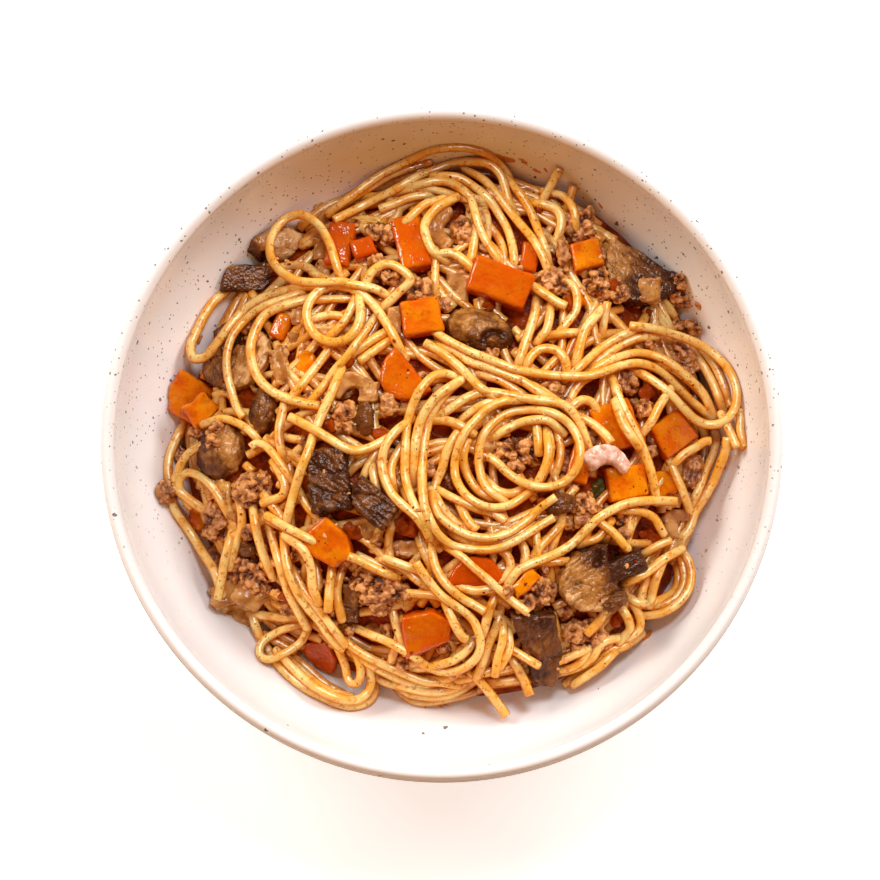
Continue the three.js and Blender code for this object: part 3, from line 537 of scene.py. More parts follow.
# Materials
def linear(code):
    """A colour written as six hex digits, as the shaders take it."""
    parts = [int(code[i:i + 2], 16) / 255 for i in (0, 2, 4)]
    return (*[c / 12.92 if c <= 0.04045 else ((c + 0.055) / 1.055) ** 2.4 for c in parts], 1.0)


def add(tree, kind, inputs=None, output=0, **settings):
    """Adds a node with its settings, fills its inputs with values or other nodes' outputs, and
    gives back one of its own outputs."""
    made = tree.nodes.new("ShaderNode" + kind)
    for key, value in settings.items():
        setattr(made, key, value)
    for key, value in (inputs or {}).items():
        if isinstance(value, bpy.types.NodeSocket):
            tree.links.new(value, made.inputs[key])
        else:
            made.inputs[key].default_value = value
    return made.outputs[output] if made.outputs else made


def patches(tree, size, detail=3.0, roughness=0.55):
    """Soft patches of about this size in millimetres, from 0 to 1."""
    here = add(tree, "TexCoord", output="Object")
    return add(tree, "TexNoise", {"Vector": here, "Scale": 1 / (size * MM), "Detail": detail,
                                  "Roughness": roughness})


def flecks(tree, spacing, size, share, cover):
    """Uneven flecks of about this size and spacing in millimetres, in this share of the cells
    round scattered points. Cover is how much of the colour beneath each one hides."""
    here = add(tree, "TexCoord", output="Object")
    shaken = add(tree, "TexNoise", {"Vector": here, "Scale": 1 / (0.5 * size * MM)}, "Color")
    moved = add(tree, "VectorMath", {0: shaken, 1: (0.7 * size * MM,) * 3, 2: here},
                operation="MULTIPLY_ADD")
    near = add(tree, "TexVoronoi", {"Vector": moved, "Scale": 1 / (spacing * MM)})
    drawn = add(tree, "SeparateColor", {"Color": near.node.outputs["Color"]})
    radius = add(tree, "Math", {0: drawn.node.outputs["Green"], 1: 0.5 * size / spacing},
                 operation="MULTIPLY")
    inside = add(tree, "Math", {0: near, 1: radius}, operation="LESS_THAN")
    chosen = add(tree, "Math", {0: drawn, 1: share}, operation="LESS_THAN")
    both = add(tree, "Math", {0: inside, 1: chosen}, operation="MULTIPLY")
    return add(tree, "Math", {0: both, 1: cover}, operation="MULTIPLY")


def upward(tree):
    """How far the surface faces up, from 0 on a side to 1 on top."""
    facing = add(tree, "TexCoord", output="Normal")
    return add(tree, "SeparateXYZ", {"Vector": facing}, "Z")


def coats(tree, base, *layers):
    """A base colour with others over it. Each has its colour, how much it covers and, where a
    pattern places it, that pattern with its values where the colour starts and is full."""
    mixed = linear(base)
    for colour, cover, *pattern in layers:
        if pattern:
            value, start, full = pattern
            cover = add(tree, "MapRange", {"Value": value, "From Min": start, "From Max": full,
                                           "To Max": cover}, interpolation_type="SMOOTHSTEP")
        mixed = add(tree, "Mix", {0: cover, 6: mixed, 7: linear(colour)}, 2, data_type="RGBA")
    return mixed


# What each word of a finish sets on the shader
FINISH = {"roughness": "Roughness", "ior": "IOR", "shine": "Specular IOR Level",
          "coat": "Coat Weight", "coat_roughness": "Coat Roughness", "clear": "Transmission Weight",
          "soft": "Subsurface Weight", "soft_reach": "Subsurface Radius",
          "glow": "Emission Strength"}


def surface(name, colour_of, relief=None, **finish):
    """A material with its colour, its finish and a relief that catches small glints: size and
    depth in millimetres, and detail."""
    made = bpy.data.materials.new(name)
    made.use_nodes = True
    tree = made.node_tree
    tree.nodes.clear()
    inputs = {"Base Color": colour_of(tree), "IOR": 1.45, "Subsurface Scale": MM}
    inputs.update({FINISH[word]: value for word, value in finish.items()})
    if relief:
        size, depth, detail = relief
        inputs["Normal"] = add(tree, "Bump", {"Height": patches(tree, size, detail, 0.5),
                                              "Distance": depth * MM, "Strength": 1.0})
    add(tree, "OutputMaterial", {"Surface": add(tree, "BsdfPrincipled", inputs)})
    return made


# Cream stoneware glaze: smooth, shiny, with small iron specks of grey-brown, closest together
# at the back
def glaze_colour(tree):
    here = add(tree, "TexCoord", output="Object")
    back = add(tree, "SeparateXYZ", {"Vector": here}, "Y")
    uneven_by = add(tree, "Math", {0: patches(tree, 25), 1: 0.1}, operation="MULTIPLY")
    spread = add(tree, "Math", {0: back, 1: uneven_by}, operation="ADD")
    specks = flecks(tree, 6.5, 1.8, 0.4, 1.0)
    for spacing, size, first, dense in ((1.2, 0.7, -0.01, 0.07), (3.0, 1.2, -0.03, 0.08)):
        cover = add(tree, "MapRange", {"Value": spread, "From Min": first, "From Max": dense},
                    interpolation_type="SMOOTHSTEP")
        smaller = flecks(tree, spacing, size, 0.5, cover)
        specks = add(tree, "Math", {0: specks, 1: smaller}, operation="MAXIMUM")
    share = add(tree, "Math", {0: specks, 1: 0.85}, operation="MULTIPLY")
    return coats(tree, "FAF9F6", ("F7F5F1", patches(tree, 30)), ("463A32", share))


GLAZE = surface("speckled_stoneware_glaze", glaze_colour, roughness=0.25, ior=1.5, coat=0.2,
                coat_roughness=0.1)


# Boiled pasta in a film of oily sauce: cream yellow, with ground pepper on it. Painted shade
# makes the sides that turn away from up orange and the strands deep in the heap brown
def pasta_colour(tree):
    stain = add(tree, "Attribute", output="Fac", attribute_name="stain")
    depth = add(tree, "Attribute", output="Fac", attribute_name="depth")
    clusters = add(tree, "MapRange", {"Value": patches(tree, 9), "From Min": 0.46, "From Max": 0.62,
                                      "To Min": 0.12, "To Max": 0.85},
                   interpolation_type="SMOOTHSTEP")
    return coats(tree, "FFE490", ("F8B848", 1.0, patches(tree, 7), 0.35, 0.65),
                 # painted shade: orange on the sides that turn away from up
                 ("EA8C08", 1.0, upward(tree), 0.88, 0.15),
                 ("D27A10", stain, patches(tree, 5), 0.30, 0.70),
                 ("D4740A", 0.75, patches(tree, 1.5), 0.56, 0.66),
                 # painted shade: brown where a strand lies deep in the heap
                 ("A64C02", depth),
                 ("7A3A0A", flecks(tree, 0.8, 0.62, 0.45, clusters)))


PASTA = surface("boiled_spaghetti_in_sauce", pasta_colour, (1.8, 0.2, 1.0), roughness=0.24,
                soft=0.2, soft_reach=(1.0, 0.6, 0.2), shine=0.65)


# Tomato and meat sauce between the strands: dark red brown, wet and a little oily
def sauce_colour(tree):
    return coats(tree, "6A1C00", ("A03C00", 1.0, patches(tree, 5), 0.35, 0.65))


SAUCE = surface("bolognese_sauce", sauce_colour, (1.5, 0.8, 1.0), roughness=0.16, shine=0.3)


# Cooked carrot: bright orange, wet, with sauce stains and pepper; painted shade makes its sides
# redder
def carrot_colour(tree):
    tone = add(tree, "Attribute", output="Fac", attribute_name="tone")
    return coats(tree, "F29408", ("E46A04", 1.0, patches(tree, 6), 0.35, 0.65),
                 ("C24400", tone),
                 # painted shade: redder on the sides that turn away from up
                 ("C44400", 0.85, upward(tree), 0.95, 0.2),
                 ("BE4A04", 0.6, patches(tree, 3.5, 4), 0.55, 0.70),
                 ("6A2E08", flecks(tree, 1.5, 0.75, 0.35, 0.75)))


CARROT = surface("cooked_carrot", carrot_colour, (1.0, 0.22, 1.5), roughness=0.18, soft=0.15,
                 soft_reach=(1.5, 0.5, 0.05), shine=0.6)


# Fried mushroom: dark wet skin, cream to tan flesh where it is cut, and near-black gills, with
# painted shade in the creases of its wrinkles
def mushroom_colour(tree):
    skin = add(tree, "Attribute", output="Fac", attribute_name="skin")
    mottle = add(tree, "MapRange", {"Value": patches(tree, 2.2), "From Min": 0.3, "From Max": 0.7,
                                    "To Min": -0.12, "To Max": 0.12},
                 interpolation_type="SMOOTHSTEP")
    dark = add(tree, "Math", {0: skin, 1: mottle}, operation="ADD")
    return coats(tree, "EEBE80", ("B47A38", 1.0, dark, 0.0, 0.4), ("74421A", 1.0, dark, 0.35, 0.7),
                 ("47220E", 1.0, dark, 0.7, 1.0))


MUSHROOM = surface("fried_mushroom", mushroom_colour, (0.9, 0.45, 1.0), roughness=0.16,
                   shine=0.35)


# Browned minced beef: pinkish tan crumbs with a thin film of sauce; painted shade darkens the
# cracks and painted light brightens the crumb tops
def mince_colour(tree):
    crack = add(tree, "Attribute", output="Fac", attribute_name="crack")
    return coats(tree, "E8A45E", ("AA6226", 1.0, crack, 0.0, 0.5),
                 ("94500E", 0.5, patches(tree, 5), 0.45, 0.65), ("541E00", 1.0, crack, 0.5, 1.0))


MINCE = surface("browned_minced_beef", mince_colour, (0.7, 0.45, 2.0), roughness=0.22)


# Soft cooked onion: clear tan, a little see-through
def onion_colour(tree):
    return coats(tree, "E8AC64", ("BC7834", 1.0, patches(tree, 4), 0.4, 0.65))


ONION = surface("soft_cooked_onion", onion_colour, (1.8, 0.3, 1.0), roughness=0.14, soft=0.2,
                soft_reach=(2.0, 0.9, 0.3), clear=0.2)


# Garlic clove: pale pinkish white, wet
def garlic_colour(tree):
    return coats(tree, "F6DCCC", ("DC9C78", 1.0, patches(tree, 3), 0.35, 0.65))


GARLIC = surface("cooked_garlic", garlic_colour, (1.6, 0.4, 1.0), roughness=0.14, soft=0.3,
                 soft_reach=(2.0, 1.2, 0.8))


# Tomato: deep red wet skin and flesh
def tomato_colour(tree):
    return coats(tree, "B04A10", ("7E2A00", patches(tree, 3)))


TOMATO = surface("cooked_tomato", tomato_colour, (1.4, 0.6, 1.0), roughness=0.14, shine=0.3)


# Cooked herb leaf: dull near-black green
def herb_colour(tree):
    return coats(tree, "5C5610", ("3E3C08", patches(tree, 2)))


HERB = surface("cooked_herb_leaf", herb_colour, roughness=0.5)


# Ground pepper: dull near-black brown
def pepper_colour(tree):
    return coats(tree, "301808", ("6E340C", patches(tree, 1.5)))


PEPPER = surface("ground_pepper", pepper_colour, roughness=0.6)


# Thin smear of orange oil and sauce on the glaze
def smear_colour(tree):
    return coats(tree, "E0A060", ("C06A24", patches(tree, 2.5, 4)))


SMEAR = surface("thin_sauce_smear", smear_colour, roughness=0.25)


# Pale matt floor that glows, as a lit table does, so that shadows on it stay faint
def floor_colour(tree):
    return coats(tree, "E6E6E6", ("E2E2E2", patches(tree, 400)))


FLOOR = surface("lit_white_floor", floor_colour, roughness=0.8, glow=0.65)


# Making pieces
def object_of(name, data, material=None):
    made = bpy.data.objects.new(name, data)
    bpy.context.scene.collection.objects.link(made)
    if material:
        data.materials.append(material)
    return made


def dress(piece, nodes=()):
    """The piece rides with the bowl and stands for its solids, which it hides."""
    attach(piece, "root")
    if nodes:
        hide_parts(*nodes)


def mesh_of(bm, name):
    mesh = bpy.data.meshes.new(name)
    bm.to_mesh(mesh)
    bm.free()
    return mesh


def put(bm, place, turned, stretch):
    """The mesh of what was modelled, stretched, turned and moved to its place in millimetres."""
    matrix = Matrix.Translation(Vector(place) * MM) @ turned @ Matrix.Diagonal((*stretch, 1))
    bmesh.ops.transform(bm, matrix=matrix, verts=bm.verts)
    return mesh_of(bm, "piece")


def evaluated(holder):
    """The mesh that a curve or a set of modifiers gives, without the object that held it."""
    made = bpy.data.meshes.new_from_object(holder.evaluated_get(
        bpy.context.evaluated_depsgraph_get()))
    bpy.data.objects.remove(holder)
    return made


def shade_smooth(mesh):
    mesh.polygons.foreach_set("use_smooth", [True] * len(mesh.polygons))
    mesh.update()


def set_values(mesh, name, values):
    """One number for each point, that the materials read by its name."""
    mesh.attributes.new(name, "FLOAT", "POINT").data.foreach_set("value", values)


def coordinates(mesh):
    flat = np.empty(len(mesh.vertices) * 3, np.float32)
    mesh.vertices.foreach_get("co", flat)
    return flat.reshape(-1, 3) / MM


def limited(value, low=0, high=1):
    return min(max(value, low), high)


def uneven(p, size, seed=0.0):
    """Smooth random ups and downs of about this size in millimetres, from -1 to 1."""
    return noise.noise(p / size + Vector((seed, 0, 0)))


def spun(profile, steps):
    """A closed body turned round the upright axis from a line of (radius, height) points."""
    bm = bmesh.new()
    corners = [bm.verts.new((r * MM, 0, z * MM)) for r, z in profile]
    edges = [bm.edges.new(pair) for pair in zip(corners, corners[1:])]
    bmesh.ops.spin(bm, geom=corners + edges, axis=(0, 0, 1), cent=(0, 0, 0), steps=steps,
                   angle=2 * math.pi, use_merge=True)
    bmesh.ops.remove_doubles(bm, verts=bm.verts, dist=1e-6)
    bmesh.ops.recalc_face_normals(bm, faces=bm.faces)
    mesh = mesh_of(bm, "spun")
    shade_smooth(mesh)
    return mesh


def arc(centre_r, centre_z, radius, start, end, steps):
    """Points on an arc of the profile, angles in degrees above the level."""
    angles = [math.radians(start + (end - start) * i / steps) for i in range(steps + 1)]
    return [(centre_r + radius * math.cos(a), centre_z + radius * math.sin(a)) for a in angles]


def bowl_profile():
    """From the middle of the underside round the foot, the outside and the rim to the middle
    of the inside."""
    inside = RIM_RADIUS - RIM_BAND
    small = FOOT_ROUND
    return [
        (0, FOOT_RECESS),
        *arc(FOOT_RADIUS - FOOT_BAND - small, FOOT_RECESS - small, small, 90, 0, 3),
        *arc(FOOT_RADIUS - FOOT_BAND + small, small, small, 180, 270, 3),
        *arc(FOOT_RADIUS - small, small, small, 270, 360, 3),
        *arc(FLOOR_RADIUS, ARC_CENTRE_Z, OUTER_ARC, FOOT_MEETS_OUTSIDE, 0, 28),
        *arc(RIM_RADIUS - RIM_ROUND, RIM_TOP - RIM_ROUND, RIM_ROUND, 0, 90, 6),
        *arc(inside + RIM_ROUND_INSIDE, RIM_TOP - RIM_ROUND_INSIDE, RIM_ROUND_INSIDE, 90, 180, 10),
        *arc(FLOOR_RADIUS, ARC_CENTRE_Z, INNER_ARC, 0, -90, 32),
        (0, FLOOR_TOP),
    ]


dress(object_of("bowl_glazed", spun(bowl_profile(), BOWL_STEPS), GLAZE), ["bowl"])

# Sauce that fills the heap under the strands, down to the wall at its edge. It runs a little
# past the heap's edge and ends below the glaze.
SAUCE_DISC = 100
SAUCE_RINGS = 90
SAUCE_STEPS = 200
SAUCE_PAST_EDGE = 1.5
SAUCE_UNDER_GLAZE = 0.25
SAUCE_LOWER = 0.2
SAUCE_WAVE = 0.5
SAUCE_WAVE_SIZE = 3.2


def sauce_core():
    """A flat disc, drawn to the heap's outline and raised to its form."""
    rings = [(SAUCE_DISC * i / SAUCE_RINGS, 0) for i in range(SAUCE_RINGS + 1)]
    mesh = spun(rings, SAUCE_STEPS)
    for vertex in mesh.vertices:
        angle = math.atan2(vertex.co.y, vertex.co.x)
        edge = float(heap_radius(angle))
        part = math.hypot(vertex.co.x, vertex.co.y) / (SAUCE_DISC * MM)
        radius = part * (edge + SAUCE_PAST_EDGE)
        x, y = radius * math.cos(angle), radius * math.sin(angle)
        inside = min(radius, edge * 0.999) / max(radius, 1e-6)
        top = float(heap_top(x * inside, y * inside))
        wall = float(wall_height(radius)) - SAUCE_UNDER_GLAZE
        share = limited((radius - edge + SAUCE_PAST_EDGE) / (2 * SAUCE_PAST_EDGE))
        wave = SAUCE_WAVE * noise.noise(Vector((x, y, 3)) / SAUCE_WAVE_SIZE) * (1 - share)
        height = top * (1 - share) + wall * share + wave - SAUCE_LOWER
        vertex.co = Vector((x, y, height)) * MM
    if mesh.polygons[0].normal.z < 0:
        mesh.flip_normals()
    mesh.update()
    return mesh


dress(object_of("sauce_under_strands", sauce_core(), SAUCE), ["spaghetti"])

# Loose strands of the lower layer, wandering at random and turning back at the heap's edge
LOWER_STRANDS = 120
LOWER_LENGTHS = (45, 100)
LOWER_STAINS = (0.25, 0.8)
LOWER_PILE = 1.6
WANDER_STEP = 3
WANDER_LEVEL = 30
WANDER_SWING = 0.05
TURN_BACK_FROM = 0.86
TURN_BACK_QUICKLY = 0.45


def wander(draw, length):
    angle = draw.uniform(0, 2 * math.pi)
    reach = float(heap_radius(angle)) * math.sqrt(draw.uniform(0.02, 0.9))
    x, y = reach * math.cos(angle), reach * math.sin(angle)
    heading = draw.uniform(0, 2 * math.pi)
    bend, wave, phase = draw.uniform(-0.03, 0.03), draw.uniform(18, 45), draw.uniform(0, 6)
    route, side = [], draw.choice((-1, 1))
    for i in range(int(length / WANDER_STEP)):
        route.append((x, y - (RIM_TOP - WANDER_LEVEL) * VIEW_COS))
        angle = math.atan2(y, x)
        part = math.hypot(x, y) / float(heap_radius(angle))
        swing = WANDER_SWING * math.sin(WANDER_STEP * i / wave * 2 * math.pi + phase)
        heading += WANDER_STEP * (bend + swing)
        if part > TURN_BACK_FROM:
            wish = angle + side * (math.pi / 2 + 2.2 * (part - 0.9))
            off = (wish - heading + math.pi) % (2 * math.pi) - math.pi
            heading += TURN_BACK_QUICKLY * off
        x += WANDER_STEP * math.cos(heading)
        y += WANDER_STEP * math.sin(heading)
    return route


def strand_rows(group):
    """Of each strand its route, its two ends, and how much sauce stains it, from 0 to 1."""
    return [(route, code[:2], int(code[2]) / 9) for code, *route in group]


# A strand's end is closed by short steps: how far out, in millimetres, and how wide
END_CAP = ((0.10, 0.85), (0.18, 0.45), (0.20, 0.02))


def rounded_ends(points, widths):
    first = (points[0] - points[1]) / np.linalg.norm(points[0] - points[1])
    last = (points[-1] - points[-2]) / np.linalg.norm(points[-1] - points[-2])
    before = [points[0] + first * out for out, _ in END_CAP[::-1]]
    after = [points[-1] + last * out for out, _ in END_CAP]
    before_widths = [widths[0] * share for _, share in END_CAP[::-1]]
    after_widths = [widths[-1] * share for _, share in END_CAP]
    return np.vstack([before, points, after]), np.concatenate(
        [before_widths, widths, after_widths])


class Strands:
    """Settled strands gathered for one piece, with each one's width and stain. Its mesh takes
    every point of a line, or every thin-th one."""

    def __init__(self, seed, thin=1):
        self.draw = random.Random(seed)
        self.thin = thin
        self.lines = []
        self.stains = []

    def lay(self, route, ends, stain, **settings):
        radius = STRAND_RADIUS * self.draw.uniform(*STRAND_VARIES)
        points = settle(route, ends, radius, **settings)
        phase = self.draw.uniform(0, 100)
        widths = [radius * (1 + 0.05 * noise.noise(Vector((phase, i * 0.12, 0))))
                  for i in range(len(points))]
        self.lines.append((points, widths))
        self.stains.append(stain)

    def end_under(self, lid):
        """Leaves out what would lie over the toppings, whose upper sides are given, and what
        little is left between them."""
        lines, stains = [], []
        for (points, widths), stain in zip(self.lines, self.stains):
            top = lid[cells(points[:, 0]), cells(points[:, 1])]
            kept = (top < 0) | (points[:, 2] < top - STRAND_RADIUS)
            change = np.diff(np.concatenate([[0], kept, [0]]))
            for first, last in zip(np.flatnonzero(change == 1), np.flatnonzero(change == -1)):
                if last - first > SHORTEST:
                    lines.append((points[first:last], widths[first:last]))
                    stains.append(stain)
        self.lines, self.stains = lines, stains

    def mesh(self, name):
        curve = bpy.data.curves.new(name, "CURVE")
        curve.dimensions = "3D"
        curve.bevel_depth = MM
        curve.bevel_resolution = (STRAND_SIDES - 4) // 2
        counts = []
        for points, widths in self.lines:
            points, widths = rounded_ends(points[::self.thin], np.array(widths)[::self.thin])
            line = curve.splines.new("POLY")
            line.points.add(len(points) - 1)
            flat = np.column_stack([points * MM, np.ones(len(points))])
            line.points.foreach_set("co", flat.ravel())
            line.points.foreach_set("radius", widths)
            counts.append(len(points) * STRAND_SIDES)
        made = evaluated(object_of(name, curve))
        set_values(made, "stain", np.repeat(np.array(self.stains, np.float32), counts))
        shade_smooth(made)
        return made


def blurred(heights, reach):
    for way in (0, 1):
        heights = np.apply_along_axis(soften, way, heights, reach)
    return heights


# How far below the top of the heap round it a strand starts to take painted shade, and over
# how many millimetres that shade grows to its full
DEEP_SHADE_FROM = 0.6
DEEP_SHADE_OVER = 6.5


# Painted shade: a strand is marked darker the further it lies below the blurred top round it
def paint_depth_shade(mesh, level):
    points = coordinates(mesh)
    below = level[cells(points[:, 0]), cells(points[:, 1])] - points[:, 2]
    depth = np.clip((below - DEEP_SHADE_FROM) / DEEP_SHADE_OVER, 0, 1) ** 0.8 * 0.85
    set_values(mesh, "depth", depth)


lower_layer = Strands(11, thin=2)
for _ in range(LOWER_STRANDS):
    path = wander(lower_layer.draw, lower_layer.draw.uniform(*LOWER_LENGTHS))
    stain = lower_layer.draw.uniform(*LOWER_STAINS)
    lower_layer.lay(path, "tt", stain, pile=LOWER_PILE)


# Toppings: the solid pieces, softened and given their skins
def merged_copy(node):
    bm = bmesh.new()
    bm.from_mesh(frame["nodes"][node].data)
    bmesh.ops.remove_doubles(bm, verts=bm.verts, dist=2e-6)
    bmesh.ops.recalc_face_normals(bm, faces=bm.faces)
    return mesh_of(bm, node + "_copy")


def remeshed(mesh, size, passes):
    """The same form in even small faces, its edges rounded by this many smoothing passes."""
    holder = object_of("holder", mesh)
    grid = holder.modifiers.new("grid", "REMESH")
    grid.mode = "VOXEL"
    grid.voxel_size = size * MM
    soft = holder.modifiers.new("soft", "SMOOTH")
    soft.factor = 0.5
    soft.iterations = passes
    return evaluated(holder)


def push_out(mesh, amount_at):
    """Moves each point along its own normal by amount_at(point), in millimetres."""
    normals = [v.normal.copy() for v in mesh.vertices]
    amounts = [amount_at(v.co / MM) for v in mesh.vertices]
    for vertex, normal, amount in zip(mesh.vertices, normals, amounts):
        vertex.co += normal * (amount * MM)
    mesh.update()
    return amounts


# How deep an orange each carrot piece is, by its number, from 0, yellow, to 1, red
CARROT_TONES = {"02": 0.8, "03": 0.8, "04": 0.6, "06": 0.6, "07": 0.7, "08": 0.8, "09": 0.1,
                "12": 0.1, "14": 0.2, "15": 0.6, "16": 0.8, "17": 0.9}
OTHER_CARROT_TONE = 0.3


def carrot_form(mesh, seed):
    tone = CARROT_TONES.get(mesh.name[7:9], OTHER_CARROT_TONE)
    mesh = remeshed(mesh, 0.55, 5)
    set_values(mesh, "tone", [tone] * len(mesh.vertices))
    push_out(mesh, lambda p: 0.35 * uneven(p, 4, seed) + 0.08 * uneven(p, 1.1))
    return mesh


# How each mushroom piece looks from above, by its number: how dark its top is from 0, cut
# flesh, to 1, skin, how much darker its edge is, how deep it is wrinkled in millimetres, the
# direction of its wrinkles in degrees, and the direction in which it darkens, and how much
MUSHROOM_LOOKS = {
    "01": (0.2, 0.6, 0.2, 0, 200, 0.35), "02": (0.78, 0.2, 0.1, 0, 270, 0.1),
    "03": (0.38, 0.5, 0.4, 60, 150, 0.4), "04": (0.55, 0.4, 0.3, 90, 0, 0),
    "05": (0.5, 0.35, 0.2, 80, 180, 0.2), "06": (0.88, 0.1, 0.45, -35, 0, 0),
    "07": (0.85, 0.1, 0.45, -38, 0, 0), "08": (0.52, 0.5, 0.2, 0, -60, 0.3),
    "09": (0.7, 0.3, 0.35, -30, -50, 0.4), "10": (0.72, 0.25, 0.35, 35, 30, 0.45),
    "11": (0.75, 0.1, 0.3, 80, 0, 0), "12": (0.7, 0.1, 0.3, 0, 0, 0)}
DARKENS_OVER = 8.0


def wrinkled(p, seed, deep, way):
    """Outward push of ridges that run one way, and creases beside them, on a gently uneven
    body."""
    cos, sin = math.cos(math.radians(way)), math.sin(math.radians(way))
    along, across = p.x * cos + p.y * sin, p.y * cos - p.x * sin
    ridge = noise.noise(Vector((along / 5, across / 0.9, p.z / 2 + seed)))
    crease = abs(noise.noise(Vector((along / 9, across / 3.5, p.z / 5 + seed))))
    return 0.35 * uneven(p, 5, seed) + deep * (ridge - 1.5 * max(1 - crease / 0.12, 0))


# Curls of gills in the cut faces: place beside the middle of the piece, radius, and the
# angles in degrees between which the curl runs
CURLS = {"01": (-6, -3.5, 2.2, 150, 400), "03": (1, 1, 4.0, 0, 200),
         "08": (4.5, -4.5, 3.4, 20, 190), "10": (-3.5, 5.0, 3.2, -60, 150),
         "09": (-2, 2, 9.0, 30, 110)}
CURL_DEEP = 1.5
CURL_HALF_WIDTH = 0.9
CURL_FADES_OVER = 30


def curl_depth(p, middle, curl):
    """How deep the curl of gills is cut into the piece at this point, from 0 to 1."""
    du, dv, radius, start, end = curl
    x, y = p.x - middle[0] - du, p.y - middle[1] - dv
    turned = (math.degrees(math.atan2(y, x)) - start) % 360
    if turned > end - start:
        return 0.0
    fade = min(turned, end - start - turned, CURL_FADES_OVER) / CURL_FADES_OVER
    return fade * math.exp(-((math.hypot(x, y) - radius) / CURL_HALF_WIDTH) ** 2)


def mushroom_form(mesh, seed):
    number = mesh.name[9:11]
    dark, rim, deep, way, towards, grows = MUSHROOM_LOOKS[number]
    mesh = remeshed(mesh, 0.45, 3)
    middle = coordinates(mesh).mean(0)
    curl = CURLS.get(number)
    if curl:
        push_out(mesh, lambda p: -CURL_DEEP * curl_depth(p, middle, curl))
    facing = [limited(vertex.normal.z) for vertex in mesh.vertices]
    amounts = push_out(mesh, lambda p: wrinkled(p, seed, deep, way))
    skin_and_crease_shades = []
    towards = math.radians(towards)
    for vertex, amount, up in zip(mesh.vertices, amounts, facing):
        p = vertex.co / MM
        out = (p.x - middle[0]) * math.cos(towards) + (p.y - middle[1]) * math.sin(towards)
        # Painted shade: the creases are darkened and the ridges lightened by how far each point was
        # pushed
        shade = grows * limited(out / DARKENS_OVER, -1) + rim * (1 - up) - 0.25 * amount
        shade += 0.35 * noise.noise(p / 6 + Vector((0, seed, 0)))
        shade += curl_depth(p, middle, curl) if curl else 0
        skin_and_crease_shades.append(limited(dark + shade))
    set_values(mesh, "skin", skin_and_crease_shades)
    return mesh


# Minced beef: the size of its crumbs and of the grains on them, how far each bulges, and how
# far the whole is set in to make room for them
CRUMB_SIZE = 2.7
CRUMB_BULGE = 1.9
GRAIN_SIZE = 1.2
GRAIN_BULGE = 1.1
SET_IN = 1.3


def crumbly(p, seed):
    """Outward push of crumbs and grains, round on top with sharp cracks between them."""
    shifted = p + noise.noise_vector(p / 2.0) * 0.8
    crumb = noise.voronoi(shifted / CRUMB_SIZE + Vector((seed, 0, 0)))[0][0]
    grain = noise.voronoi(shifted / GRAIN_SIZE + Vector((0, seed, 0)))[0][0]
    bulge = (CRUMB_BULGE * math.sqrt(max(0.5 - crumb**2, 0))
             + GRAIN_BULGE * math.sqrt(max(0.5 - grain**2, 0)))
    return bulge + 0.35 * uneven(p, 0.8) - SET_IN


def crumble(mesh, seed, share=1.0):
    """Gives a mesh its crumbs, and marks how deep in a crack each point lies, for painted shade in
    the cracks and painted light on the crumb tops.
    """
    amounts = push_out(mesh, lambda p: share * crumbly(p, seed))
    set_values(mesh, "crack", [limited(0.35 - 0.7 * amount) for amount in amounts])


def mince_form(mesh, seed):
    mesh = remeshed(mesh, 0.4, 2)
    crumble(mesh, seed)
    return mesh


def petal_form(mesh, seed):
    mesh = remeshed(mesh, 0.45, 4)
    push_out(mesh, lambda p: 0.5 * uneven(p, 4, seed))
    return mesh


def clove_form(mesh, seed):
    """Fuller at its left end."""
    mesh = remeshed(mesh, 0.45, 4)
    middle = coordinates(mesh).mean(0)
    push_out(mesh, lambda p: 0.5 - 0.12 * (p.x - middle[0]) + 0.2 * uneven(p, 4, seed))
    return mesh


def joined(name, meshes, material):
    """One piece of several meshes."""
    bm = bmesh.new()
    for mesh in meshes:
        bm.from_mesh(mesh)
    made = mesh_of(bm, name)
    shade_smooth(made)
    return object_of(name, made, material)


def mark_top(mesh, heights):
    """Raises the height map to the upper side of a mesh."""
    tree = BVHTree.FromPolygons([v.co for v in mesh.vertices],
                                [p.vertices[:] for p in mesh.polygons])
    points = coordinates(mesh)
    low, high = cells(points.min(0)), cells(points.max(0))
    for i in range(low[0], high[0] + 1):
        for j in range(low[1], high[1] + 1):
            hit = tree.ray_cast(Vector((axis[i], axis[j], ABOVE_ALL)) * MM, Vector((0, 0, -1)))[0]
            if hit is not None:
                heights[i, j] = max(heights[i, j], hit.z / MM)


# The kinds of topping: name of the piece, how the names of its solids start, their slot, and
# the form and the material that it takes
KINDS = [
    ("carrot_pieces", "carrot", "carrot", carrot_form, CARROT),
    ("mushroom_pieces", "mushroom", "mushroom", mushroom_form, MUSHROOM),
    ("minced_beef_clumps", "mince", "minced_beef", mince_form, MINCE),
    ("onion_pieces", "onion", "onion", petal_form, ONION),
    ("garlic_clove", "garlic", "garlic", clove_form, GARLIC),
]
lid = np.full_like(covered, NOTHING)
for piece_name, word, slot_name, form, material in KINDS:
    names = sorted(n for n in frame["nodes"] if n.startswith(word))
    meshes = [form(merged_copy(n), 7.3 * i) for i, n in enumerate(names)]
    for mesh in meshes:
        mark_top(mesh, lid)
    dress(joined(piece_name, meshes, material), names)
covered = np.maximum(covered, lid)
lower_layer.end_under(lid)

